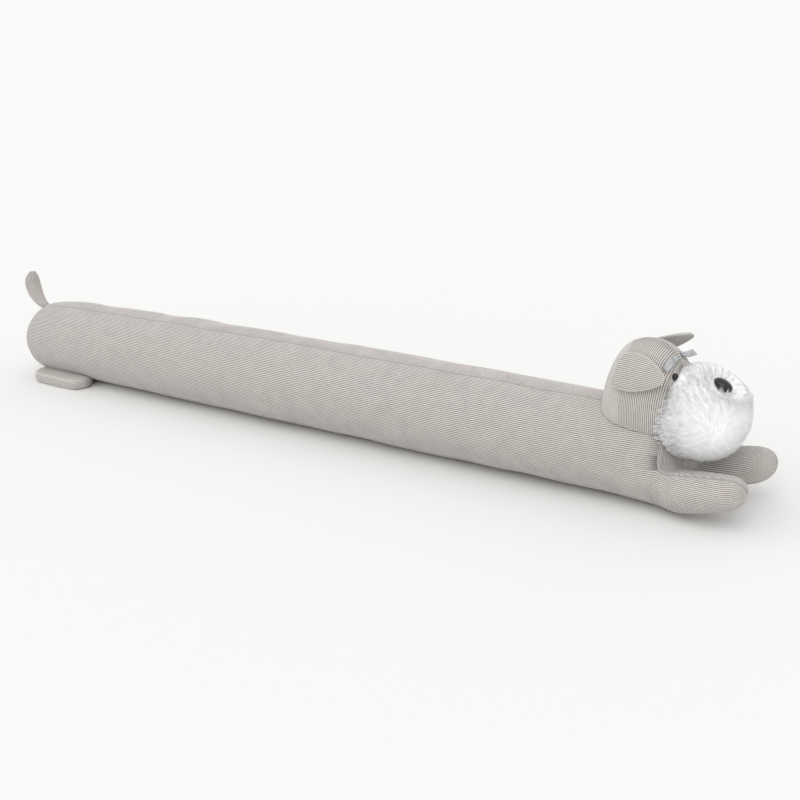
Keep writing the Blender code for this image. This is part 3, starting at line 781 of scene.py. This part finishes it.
# Brows: strips of grey wool felt with cut edges, caught in the seam above each eye. The
# near one lies down to the side of the head and the far one stands off it.
BROW_LENGTH = 0.0205
BROW_WIDTH = 0.0074
FELT_THICKNESS = 0.0014
FELT_FUZZ = 0.00022
BROW_SPACING = 0.0285
BROW_HEIGHT = 0.1365
BROW_BEHIND_FACE = 0.0066
BROW_DROP = 0.0040
BROW_ACROSS = Vector((0.70, 0.0, -0.71)).normalized()
BROW_LIFTS = {"right": 0.0, "left": 0.0070}


def grey_felt():
    """Pressed wool felt: flat grey with pale fibres matted every way, quite without gloss."""
    made = bpy.data.materials.new("grey_wool_felt")
    add = empty_tree(made)
    spot = add("TexCoord").outputs["Object"]
    matted = add("TexNoise", {"Vector": spot, "Scale": 1 / 0.0012, "Detail": 4.0,
                              "Roughness": 0.7, "Distortion": 1.5})
    cloudy = add("TexNoise", {"Vector": spot, "Scale": 1 / 0.005, "Detail": 2.0})
    both = add("Math", {0: matted, 1: cloudy}, operation="ADD")
    tone = add("MapRange", {"Value": both, "From Min": 0.75, "From Max": 1.25})
    shade = add("Mix", {"Factor": tone, "A": colour("#8e9093"), "B": colour("#babbbd")},
                data_type="RGBA")
    bump = add("Bump", {"Height": matted, "Strength": 0.6, "Distance": 0.0003})
    shader = add("BsdfPrincipled", {
        "Base Color": shade, "Roughness": 0.98, "Specular IOR Level": 0.1, "Sheen Weight": 0.2,
        "Sheen Roughness": 0.7, "Normal": bump})
    add("OutputMaterial", {"Surface": shader})
    return made


FELT = grey_felt()


def brow_outline(share):
    """Half width of the brow: narrow in the seam and wider at its free end."""
    return BROW_WIDTH / 2 * (0.64 + 0.36 * share)


def make_brow(label, side):
    lift = BROW_LIFTS[label]
    inner = side * (BROW_SPACING - BROW_LENGTH) / 2
    root = Vector((FORK + HEAD_FRONT - BROW_BEHIND_FACE, inner, BROW_HEIGHT))
    along = Vector((lift, side * BROW_LENGTH, lift / 3 - BROW_DROP)).normalized() * BROW_LENGTH
    brow = lay_sheet("felt_brow_" + label, brow_outline, BROW_LENGTH, FELT_THICKNESS, root, along,
                     BROW_ACROSS, lambda share: 1.0 - share * lift / BROW_LIFTS["left"], 3)
    places, normals, _ = mesh_arrays(brow.data)
    fuzz = np.array([noise.noise(Vector(place) / 0.0018) for place in places])
    move_corners(brow.data, places + normals * (FELT_FUZZ * fuzz)[:, None])
    finish_piece(brow, FELT, "grey_felt", "brow_" + label)


for label, side in SIDES.items():
    make_brow(label, side)


# Eyes and nose: black beads moulded in one with their shanks. The shank goes through the
# cloth and is locked inside. The nose sits deep in the fur of the muzzle.
SHANK_DIAMETER = 0.0024
SHANK_LENGTH = 0.006
EYE_DIAMETER = 0.0066
EYE_SPACING = 0.031
EYE_HEIGHT = 0.1238
MUZZLE_CENTRE = Vector((FORK + 0.0295, 0, 0.0904))
NOSE_FACING = Vector((math.cos(math.radians(60)), 0, math.sin(math.radians(60))))
NOSE_PLACE = MUZZLE_CENTRE + NOSE_FACING * 0.0310
NOSE_SIZE = (0.014, 0.018, 0.009)


def black_plastic():
    """Injection-moulded glossy plastic: near black, with faint handling marks in its gloss."""
    made = bpy.data.materials.new("black_moulded_plastic")
    add = empty_tree(made)
    spot = add("TexCoord").outputs["Object"]
    worn = add("TexNoise", {"Vector": spot, "Scale": 1 / 0.0012, "Detail": 5.0})
    gloss = add("MapRange", {"Value": worn, "From Min": 0.35, "From Max": 0.75,
                             "To Min": 0.08, "To Max": 0.22})
    shader = add("BsdfPrincipled", {"Base Color": colour("#17171a"), "IOR": 1.5,
                                    "Roughness": gloss})
    add("OutputMaterial", {"Surface": shader})
    return made


BLACK = black_plastic()


def make_bead(name, size, where, facing, node):
    """A domed oval bead drawn in behind to a flange and a round shank."""
    bead = plain_shape(bpy.ops.mesh.primitive_uv_sphere_add, name, segments=40, ring_count=20,
                       radius=0.5)
    bead.data.transform(Matrix.Diagonal((*size, 1)))
    bm = bmesh.new()
    bm.from_mesh(bead.data)
    behind = [face for face in bm.faces if face.calc_center_median().z < -size[2] * 0.475]
    ends = bmesh.ops.extrude_face_region(bm, geom=behind)["geom"]
    moved = [item for item in ends if isinstance(item, bmesh.types.BMVert)]
    bmesh.ops.delete(bm, geom=behind, context="FACES")
    for corner in moved:
        radial = corner.co.xy.length
        if radial > 1e-6:
            wanted = min(1.0, radial / (size[0] * 0.16)) * SHANK_DIAMETER / 2
            corner.co.xy *= wanted / radial
        corner.co.z = -size[2] / 4 - SHANK_LENGTH
    bmesh.ops.recalc_face_normals(bm, faces=bm.faces)
    turn = facing.to_track_quat("Z", "Y").to_matrix().to_4x4()
    bm.transform(Matrix.Translation(where) @ turn)
    bm.to_mesh(bead.data)
    bm.free()
    finish_piece(bead, BLACK, "black_plastic", node)


eye_places = []
for label, side in SIDES.items():
    ahead = Vector((FORK + 0.095, side * EYE_SPACING / 2, EYE_HEIGHT))
    face, facing, _, _ = HEAD_SURFACE.ray_cast(ahead, Vector((-1, 0, 0)))
    make_bead("eye_bead_" + label, (EYE_DIAMETER, EYE_DIAMETER, EYE_DIAMETER * 0.8),
              face + facing * EYE_DIAMETER * 0.12, facing, "eye_" + label)
    eye_places.append(np.array(face + facing * EYE_DIAMETER * 0.4))
make_bead("nose_bead", NOSE_SIZE, NOSE_PLACE, NOSE_FACING, "nose")


# Muzzle: long white fur on a stuffed ball that is sewn to the face. Its dense lower pile
# makes the round of the ball and a hollow for the nose. The long pile falls away over that
# on all sides from a parting on the near side, in small locks.
BACKING_RADIUS = 0.0402
HOLLOW_RADIUS = 0.0262
HOLLOW_RIM = (math.radians(18), math.radians(42))
FUR_STRETCH = np.array((0.965, 0.975, 1.05))
HANGING = 0.0035
TUFT_HEIGHT = 0.0013
FUR_RADIUS = 0.0415
PARTING = Vector((0.62, -0.765, -0.176)).normalized()
STRANDS = 8000
LOCKS = 700
STRAND_WIDTH = 0.00027
PILE_LENGTH = 0.0135
STATIONS = (0.0, 0.36, 0.70, 1.0)
WIDTHS = (1.0, 0.85, 0.6)
FLATTENED = (1.4, 0.5)
# How far the strands of a lock draw together, and how far a strand strays, at each station
DRAWN = (0.0, 0.2, 0.5, 0.8)
LOCK_STRAYS = 0.13
STRAND_STRAYS = 0.06
STRAND_SAG = 0.22
# Lean of a strand at the parting, what it gains away from there, and what its tip gains
LEAN = (34, 34, 22)
ROOT_DEPTH = 0.0005
OVER_PILE = 0.0006
TIP_OVER_PILE = 0.0012
OVER_CLOTH = 0.0009
# Over the edge of the face the strands are longer and stouter, and hang further out
RIM_LONGER = 0.35
RIM_STOUTER = 0.9
RIM_FALL = 0.006
NOSE_CLEAR = 0.0085
NOSE_COVER = 0.0092
EYE_CLEAR = 0.0062


def white_fur():
    """Long acrylic pile: white matt fibres, which look whitest where they lie close together.
    The lower pile shows the lie of its fibres as streaks of about 1 mm from the parting."""
    made = bpy.data.materials.new("white_acrylic_fur")
    add = empty_tree(made)
    spot = add("TexCoord").outputs["Object"]
    locks = add("TexNoise", {"Vector": spot, "Scale": 1 / 0.004, "Detail": 3.0})
    combing = add("Attribute", attribute_name="combing").outputs["Vector"]
    along = add("Mapping", {"Vector": combing, "Scale": (48, 48, 7)})
    streaks = add("TexNoise", {"Vector": along, "Scale": 1.0, "Detail": 3.0})
    mixed = add("Math", {0: locks, 1: streaks}, operation="MULTIPLY")
    shade = add("MapRange", {"Value": mixed, "From Min": 0.12, "From Max": 0.30})
    tone = add("Mix", {"Factor": shade, "A": colour("#f7f7fa"), "B": colour("#ffffff")},
               data_type="RGBA")
    relief = add("Bump", {"Height": streaks, "Distance": 0.0012, "Strength": 0.4})
    shader = add("BsdfPrincipled", {
        "Base Color": tone, "Roughness": 0.75, "Specular IOR Level": 0.15, "Normal": relief})
    add("OutputMaterial", {"Surface": shader})
    return made


FUR = white_fur()


def unit(rows):
    return rows / np.maximum(np.linalg.norm(rows, axis=1, keepdims=True), 1e-9)


def lower_pile(directions):
    """Radius of the lower pile each way: a ball that is hollow round the nose and fuller
    where it hangs over the edge of the face."""
    off = np.arccos(np.clip(directions @ np.array(NOSE_FACING), -1, 1))
    fuller = smooth_step(0.0, -0.6, directions[:, 0]) * smooth_step(0.4, -0.3, directions[:, 2])
    return (HOLLOW_RADIUS + (BACKING_RADIUS - HOLLOW_RADIUS) * smooth_step(*HOLLOW_RIM, off)
            + HANGING * fuller)


def combed(directions):
    """Where each direction lies in the lie of the pile: round the parting, and off it."""
    polar = np.arccos(np.clip(directions @ np.array(PARTING), -1, 1))
    first = PARTING.cross(Vector((0, 0, 1))).normalized()
    second = PARTING.cross(first)
    across = unit(np.stack((directions @ np.array(first), directions @ np.array(second)), 1))
    return np.concatenate((across, polar[:, None]), 1)


def tufts(directions):
    """Height of the tufts, which are drawn out along the lie of the pile from the parting."""
    heights = np.zeros(len(directions))
    for width, length, share in ((13, 4.5, 0.6), (27, 9.0, 0.4)):
        spots = combed(directions) * (width, width, length)
        heights += share * np.array([noise.noise(Vector(spot)) for spot in spots])
    return heights


def make_backing():
    """The stuffed ball with its lower pile, which is slightly tufted."""
    ball = plain_shape(bpy.ops.mesh.primitive_ico_sphere_add, "muzzle_backing", subdivisions=6,
                       radius=1)
    ways = unit(np.array([corner.co for corner in ball.data.vertices]))
    outward = ways * (lower_pile(ways) + TUFT_HEIGHT * tufts(ways))[:, None]
    move_corners(ball.data, np.array(MUZZLE_CENTRE) + outward * FUR_STRETCH)
    combing = ball.data.attributes.new("combing", "FLOAT_VECTOR", "POINT")
    combing.data.foreach_set("vector", combed(ways).astype(np.float32).ravel())
    cut_by(ball, body_form, plain_copy(head_form, "head_clearance", SEAT_GAP))
    finish_piece(ball, FUR, "white_fur", "muzzle")


def even_directions(count):
    """Directions spread evenly over a ball, as seeds sit on a seed head."""
    index = np.arange(count) + 0.5
    polar = np.arccos(1 - 2 * index / count)
    turn = np.pi * (1 + 5 ** 0.5) * index
    return np.stack((np.sin(polar) * np.cos(turn), np.sin(polar) * np.sin(turn), np.cos(polar)), 1)


def pushed_out(surface, places, gap):
    """Places moved out of a closed form to lie on it, and which of them were within it."""
    moved, within = places.copy(), np.zeros(len(places), bool)
    for i, place in enumerate(places):
        near, normal, _, _ = surface.find_nearest(Vector(place))
        if (Vector(place) - near).dot(normal) < gap:
            moved[i], within[i] = near + normal * gap, True
    return moved, within


def comb(random):
    """The curve of every strand, four points from its root to its tip, and the way across
    it, which is longer where the strand is stouter."""
    lock_wild = random.normal(0, 1, (LOCKS, 3))
    lock_long = random.uniform(0.82, 1.12, LOCKS)
    normal = unit(even_directions(STRANDS) + random.normal(0, 0.006, (STRANDS, 3)))
    lock = nearest(even_directions(LOCKS), normal)[0]
    centre, facing, parting = (np.array(way) for way in (MUZZLE_CENTRE, NOSE_FACING, PARTING))
    root = centre + normal * (lower_pile(normal) - ROOT_DEPTH)[:, None]
    keep = np.ones(STRANDS, bool)
    for surface in (HEAD_SURFACE, BODY_SURFACE):
        keep &= ~pushed_out(surface, root, SEAT_GAP)[1]
    from_nose = root - np.array(NOSE_PLACE)
    beside = from_nose - np.outer(from_nose @ facing, facing)
    keep &= ~((np.linalg.norm(beside, axis=1) < NOSE_CLEAR) & (from_nose @ facing > -0.02))
    normal, root, lock = normal[keep], root[keep], lock[keep]
    count = len(root)
    polar = np.arccos(np.clip(normal @ parting, -1, 1))
    flow = unit(normal * (normal @ parting)[:, None] - parting)
    behind = smooth_step(0.1, -0.5, normal[:, 0])
    lean = np.radians(LEAN[0] + LEAN[1] * smooth_step(0.05, 1.1, polar)) * (1 - 0.4 * behind)
    lean_tip = lean + np.radians(LEAN[2])
    wild = LOCK_STRAYS * lock_wild[lock] + random.normal(0, STRAND_STRAYS, (count, 3))
    long = PILE_LENGTH * lock_long[lock] * random.uniform(0.88, 1.1, count)
    long *= 0.62 + 0.38 * smooth_step(0, 0.9, polar)
    up = np.array(NOSE_FACING.cross(Vector((0, 1, 0))))
    off_nose = np.degrees(np.arccos(np.clip(normal @ facing, -1, 1)))
    in_hollow = smooth_step(46, 26, off_nose)
    from_axis = normal - np.outer(normal @ facing, facing)
    flow = unit(flow * (1 - in_hollow)[:, None] + unit(from_axis) * in_hollow[:, None])
    below = smooth_step(0.05, -0.15, normal @ up)
    rim = smooth_step(0.05, -0.3, normal[:, 0]) * smooth_step(0.5, 0.0, normal[:, 2])
    long *= 1 + RIM_LONGER * rim
    long *= 1 - 0.35 * in_hollow * (1 - below) + 0.45 * below * smooth_step(62, 40, off_nose)
    points = [root]
    for i in range(1, len(STATIONS)):
        share = (STATIONS[i] + STATIONS[i - 1]) / 2
        angle = lean + (lean_tip - lean) * share
        step = normal * np.cos(angle)[:, None] + flow * np.sin(angle)[:, None] + wild * share
        step[:, 2] -= STRAND_SAG * share
        points.append(points[-1] + unit(step) * (long * (STATIONS[i] - STATIONS[i - 1]))[:, None])
    points = np.stack(points, 1)
    # The strands of a lock draw together towards its middle
    sums = np.zeros((LOCKS, len(STATIONS), 3))
    np.add.at(sums, lock, points)
    sizes = np.bincount(lock, minlength=LOCKS)[:, None, None]
    middle = sums / np.maximum(sizes, 1)
    pull = np.array(DRAWN)[None, :, None]
    points += (middle[lock] - points) * pull * random.uniform(0.7, 1.1, (count, 1, 1))
    # The pile keeps the round of the muzzle, but falls back over the edge of the face
    out = points - centre
    far = np.linalg.norm(out, axis=2, keepdims=True)
    way = out / far
    low_behind = smooth_step(-0.1, -0.6, way[:, :, :1]) * smooth_step(0.2, -0.4, way[:, :, 2:])
    limit = FUR_RADIUS + RIM_FALL * low_behind
    reach = np.where(far > limit, limit + 0.3 * (far - limit), far)
    # No strand is buried in the lower pile that it lies on
    pile = lower_pile(way.reshape(-1, 3)).reshape(reach.shape)
    above = pile + OVER_PILE + TIP_OVER_PILE * np.array(STATIONS)[None, :, None]
    reach[:, 1:] = np.maximum(reach, above)[:, 1:]
    points = centre + out * reach / far * FUR_STRETCH
    # Only the lower half of the nose has strands over it, and the eyes have none
    from_nose = points - np.array(NOSE_PLACE)
    height = from_nose @ facing
    aside = from_nose - height[:, :, None] * facing
    over = (np.linalg.norm(aside, axis=2) < NOSE_COVER) & (height > -0.001)
    covers = over.any(1)
    thin = covers & ((over & (aside @ up > -0.001)).any(1) | (random.random(count) > 0.5))
    for eye in eye_places:
        thin |= (np.linalg.norm(points - eye, axis=2) < EYE_CLEAR).any(1)
    points, normal, flow, rim = points[~thin], normal[~thin], flow[~thin], rim[~thin]
    flat = points[:, 1:].reshape(-1, 3)
    for surface in (HEAD_SURFACE, BODY_SURFACE):
        flat, _ = pushed_out(surface, flat, OVER_CLOTH)
    points[:, 1:] = flat.reshape(-1, len(STATIONS) - 1, 3)
    return points, unit(np.cross(normal, flow)) * (1 + RIM_STOUTER * rim)[:, None]


def strand_shape():
    """One strand, modelled once: three sides, drawn out in steps and closed at both ends."""
    strand = plain_shape(bpy.ops.mesh.primitive_circle_add, "strand", vertices=3, radius=0.5,
                         fill_type="NGON")
    bpy.ops.object.mode_set(mode="EDIT")
    bpy.ops.mesh.select_all(action="SELECT")
    for _ in STATIONS[1:]:
        bpy.ops.mesh.extrude_region_move(TRANSFORM_OT_translate={"value": (0, 0, 1)})
    bpy.ops.mesh.merge(type="CENTER")
    bpy.ops.mesh.select_all(action="SELECT")
    bpy.ops.mesh.normals_make_consistent(inside=False)
    bpy.ops.object.mode_set(mode="OBJECT")
    corners = [tuple(corner.co) for corner in strand.data.vertices]
    faces = [tuple(face.vertices) for face in strand.data.polygons]
    bpy.data.objects.remove(strand)
    return corners, faces


def lay_strands(name, points, sides, corners, faces):
    """Copies of the strand laid along their curves, as one mesh."""
    count = len(points)
    placed = np.zeros((count, len(corners), 3))
    direction = unit((points[:, 1:] - points[:, :-1]).reshape(-1, 3)).reshape(count, -1, 3)
    direction = np.concatenate((direction, direction[:, -1:]), 1)
    widths = np.array(WIDTHS + (0.0,)) * STRAND_WIDTH
    for i, (x, y, level) in enumerate(corners):
        k = round(level)
        second = np.cross(direction[:, k], sides)
        across = FLATTENED[0] * sides * x + FLATTENED[1] * second * y
        placed[:, i] = points[:, k] - widths[k] * across
    index = np.arange(count)[:, None] * len(corners)
    pattern = [i for face in faces for i in face]
    sizes = [len(face) for face in faces]
    mesh = bpy.data.meshes.new(name)
    mesh.vertices.add(count * len(corners))
    mesh.vertices.foreach_set("co", placed.astype(np.float32).ravel())
    all_loops = (index + np.array(pattern)[None, :]).ravel()
    mesh.loops.add(len(all_loops))
    mesh.loops.foreach_set("vertex_index", all_loops.astype(np.int32))
    face_starts = np.cumsum([0] + sizes[:-1])
    all_starts = (np.arange(count)[:, None] * len(pattern) + face_starts[None, :]).ravel()
    mesh.polygons.add(len(all_starts))
    mesh.polygons.foreach_set("loop_start", all_starts.astype(np.int32))
    mesh.update(calc_edges=True)
    mesh.validate()
    finish_piece(new_object(name, mesh), FUR, "white_fur")


make_backing()
BODY_SURFACE = surface_of(body_form)
strand_points, strand_sides = comb(np.random.default_rng(11))
strand_corners, strand_faces = strand_shape()
lay_strands("fur_pile", strand_points, strand_sides, strand_corners, strand_faces)


# Tail: a flat tube of cord, sewn, turned and sewn on above the end panel. It bends back and
# curls up, with its seam along one edge.
TAIL_LENGTH = 0.056
TAIL_WIDTH = 0.022
TAIL_THICKNESS = 0.0060
TAIL_BASE_HEIGHT = 0.082
TAIL_SEAT = 0.0080
TAIL_RIBS = 3.7


def tail_cage():
    bm = new_cloth()
    count, around = 8, 8
    place = Vector((REAR + TAIL_SEAT, 0, TAIL_BASE_HEIGHT))
    rows = []
    for i in range(count):
        share = i / (count - 1)
        lean = math.radians(62 - 100 * share)
        twist = math.radians(15 + 45 * share)
        past = max(0.0, (share - 0.72) / 0.30)
        round_tip = math.sqrt(max(0.0, 1 - past ** 2))
        wide = TAIL_WIDTH / 2 * (0.62 + 0.38 * min(1.0, 2 * share)) * round_tip
        thick = TAIL_THICKNESS / 2 * max(round_tip, 0.5)
        side = Vector((math.sin(twist), math.cos(twist), 0))
        rise = Vector((-math.sin(lean), 0, math.cos(lean)))
        out = rise.cross(side).normalized()
        row = []
        for k in range(around):
            angle = 2 * math.pi * k / around
            row.append(bm.verts.new(place + side * wide * math.cos(angle)
                                    + out * thick * math.sin(angle)))
        rows.append(row)
        place = place + TAIL_LENGTH / (count - 1) * rise
    counts = [[(TAIL_RIBS * k, i * TAIL_LENGTH / (count - 1) / RIB) for k in range(around + 1)]
              for i in range(count)]
    for i in range(count - 1):
        lay_strip(bm, rows[i] + rows[i][:1], rows[i + 1] + rows[i + 1][:1], counts[i:i + 2])
    close_panel(bm, rows[0], counts[0])
    close_panel(bm, rows[-1], counts[-1])
    sew(bm, [row[0] for row in rows], 0.3)
    bmesh.ops.recalc_face_normals(bm, faces=bm.faces)
    return bm


def make_tail():
    tail = cloth_object("tail_skin", tail_cage(), mirrored=False, levels=2)
    cut_across(tail, 2, "cloth", lambda middle: True)
    whole = np.ones(len(tail.data.vertices))
    press_ribs(tail, seam_lines(tail.data), whole, whole)
    cut_by(tail, body_form)
    finish_piece(tail, CORD, "ribbed_cord", "tail")


make_tail()


# Rear feet: flat oval pads of cord, tucked under the flanks and sewn to them. A seam runs
# round the upper edge, and the top is crowned by the stuffing.
FOOT_LENGTH = 0.092
FOOT_WIDTH = 0.034
FOOT_THICKNESS = 0.014
FOOT_FROM_REAR = 0.074
FOOT_OFFSET = 0.0405
FOOT_GRAIN = 0.0007
FOOT_SEAM_DEPTH = 0.0007
FOOT_CROWN = 0.0012


def make_foot(label, side):
    foot = plain_shape(bpy.ops.mesh.primitive_cylinder_add, "foot_pad_" + label, vertices=48,
                       radius=0.5, depth=1, end_fill_type="TRIFAN")
    straight = (FOOT_LENGTH - FOOT_WIDTH) / 2
    centre = Vector((REAR + FOOT_FROM_REAR, side * FOOT_OFFSET, 0))
    for corner in foot.data.vertices:
        x, y, z = corner.co
        shift = straight * max(-1.0, min(1.0, 6 * x))
        corner.co = centre + Vector((x * FOOT_WIDTH + shift, y * FOOT_WIDTH,
                                     (z + 0.5) * FOOT_THICKNESS))
    rim = foot.modifiers.new("stuffed_rim", "BEVEL")
    rim.width, rim.segments, rim.limit_method = FOOT_THICKNESS * 0.36, 4, "ANGLE"
    grain = foot.modifiers.new("grain", "REMESH")
    grain.mode, grain.voxel_size = "VOXEL", FOOT_GRAIN
    settle = foot.modifiers.new("settle", "SMOOTH")
    settle.iterations = 6
    apply_modifiers(foot)
    mesh = foot.data
    layer = mesh.uv_layers.new(name="cloth")
    for face in mesh.polygons:
        flat = abs(face.normal.z) > 0.6
        for i in face.loop_indices:
            co = mesh.vertices[mesh.loops[i].vertex_index].co
            layer.data[i].uv = ((co.y if flat else co.z) / RIB, co.x / RIB)
    places, normals, ribs = mesh_arrays(mesh)
    upright = np.abs(normals[:, 2])
    seam = np.exp(-((places[:, 2] - FOOT_THICKNESS * 0.80) / 0.0007) ** 2) * (upright < 0.93)
    ribbed = np.clip((upright - 0.75) / 0.15, 0, 1) + np.clip((0.45 - upright) / 0.15, 0, 1)
    height = RIB_HEIGHT * (rib_profile(ribs[:, 0]) - 1) * ribbed - FOOT_SEAM_DEPTH * seam
    top = smooth_step(0.5, 0.9, normals[:, 2])
    inward = 1 - np.clip(np.abs(places[:, 1] - centre.y) / (FOOT_WIDTH / 2), 0, 1) ** 2
    height += top * (FOOT_CROWN * inward - FOOT_CROWN / 2)
    places += normals * height[:, None]
    places[:, 2] = np.maximum(places[:, 2], 0.0)
    move_corners(mesh, places)
    store(mesh, "groove_shade", 0.9 * ribbed * (1 - seam))
    cut_by(foot, body_form)
    finish_piece(foot, CORD, "ribbed_cord", "foot_" + label)


for label, side in SIDES.items():
    make_foot(label, side)
for name in ("body_form", "head_form", "head_clearance"):
    bpy.data.objects.remove(bpy.data.objects[name])


# Camera: the photograph's viewing angle and distance, slightly closer in its framing so
# that the whole dog fills the picture.
AZIMUTH = math.radians(37.607)
ELEVATION = math.radians(20.092)
ROLL = math.radians(3.967)
DISTANCE = 1.25488
LENS = 54.1
AIM = Vector((FORK - 0.3049, 0, 0.046))


def place_camera():
    back = Vector((math.sin(AZIMUTH) * math.cos(ELEVATION), -math.cos(AZIMUTH) * math.cos(ELEVATION),
                   math.sin(ELEVATION)))
    right = Vector((math.cos(AZIMUTH), math.sin(AZIMUTH), 0))
    upright = back.cross(right)
    turn = Matrix((right, upright, back)).transposed().to_4x4()
    lens = bpy.data.cameras.new("camera")
    lens.lens = LENS
    camera = new_object("camera", lens)
    camera.matrix_world = (Matrix.Translation(AIM + back * DISTANCE) @ turn
                           @ Matrix.Rotation(-ROLL, 4, "Z"))
    bpy.context.scene.camera = camera


place_camera()


# Studio: a plain pale floor, an even white surround that gives most of the light, and two
# weak soft lamps, so that the shadow under the dog stays soft.
def make_studio():
    floor = plain_shape(bpy.ops.mesh.primitive_plane_add, "floor", size=60, location=(0, 0, 0))
    paint = bpy.data.materials.new("matt_white_paint")
    add = empty_tree(paint)
    shader = add("BsdfPrincipled", {"Base Color": colour("#e6e6e5"), "Roughness": 0.9,
                                    "Specular IOR Level": 0.1})
    add("OutputMaterial", {"Surface": shader})
    floor.data.materials.append(paint)

    world = bpy.data.worlds.new("studio")
    bpy.context.scene.world = world
    add = empty_tree(world)
    glow = add("Background", {"Color": colour("#ffffff"), "Strength": 0.96})
    add("OutputWorld", {"Surface": glow})

    for name, place, spread, power in (("key_lamp", (0.7, -1.2, 2.0), 50, 0.70),
                                       ("fill_lamp", (-1.6, -0.9, 1.8), 80, 0.28)):
        lamp = bpy.data.lights.new(name, "SUN")
        lamp.angle, lamp.energy = math.radians(spread), power
        turn = (Vector(place) - AIM).to_track_quat("Z", "Y").to_matrix().to_4x4()
        new_object(name, lamp).matrix_world = Matrix.Translation(place) @ turn


make_studio()
bpy.context.scene.view_settings.view_transform = "Standard"
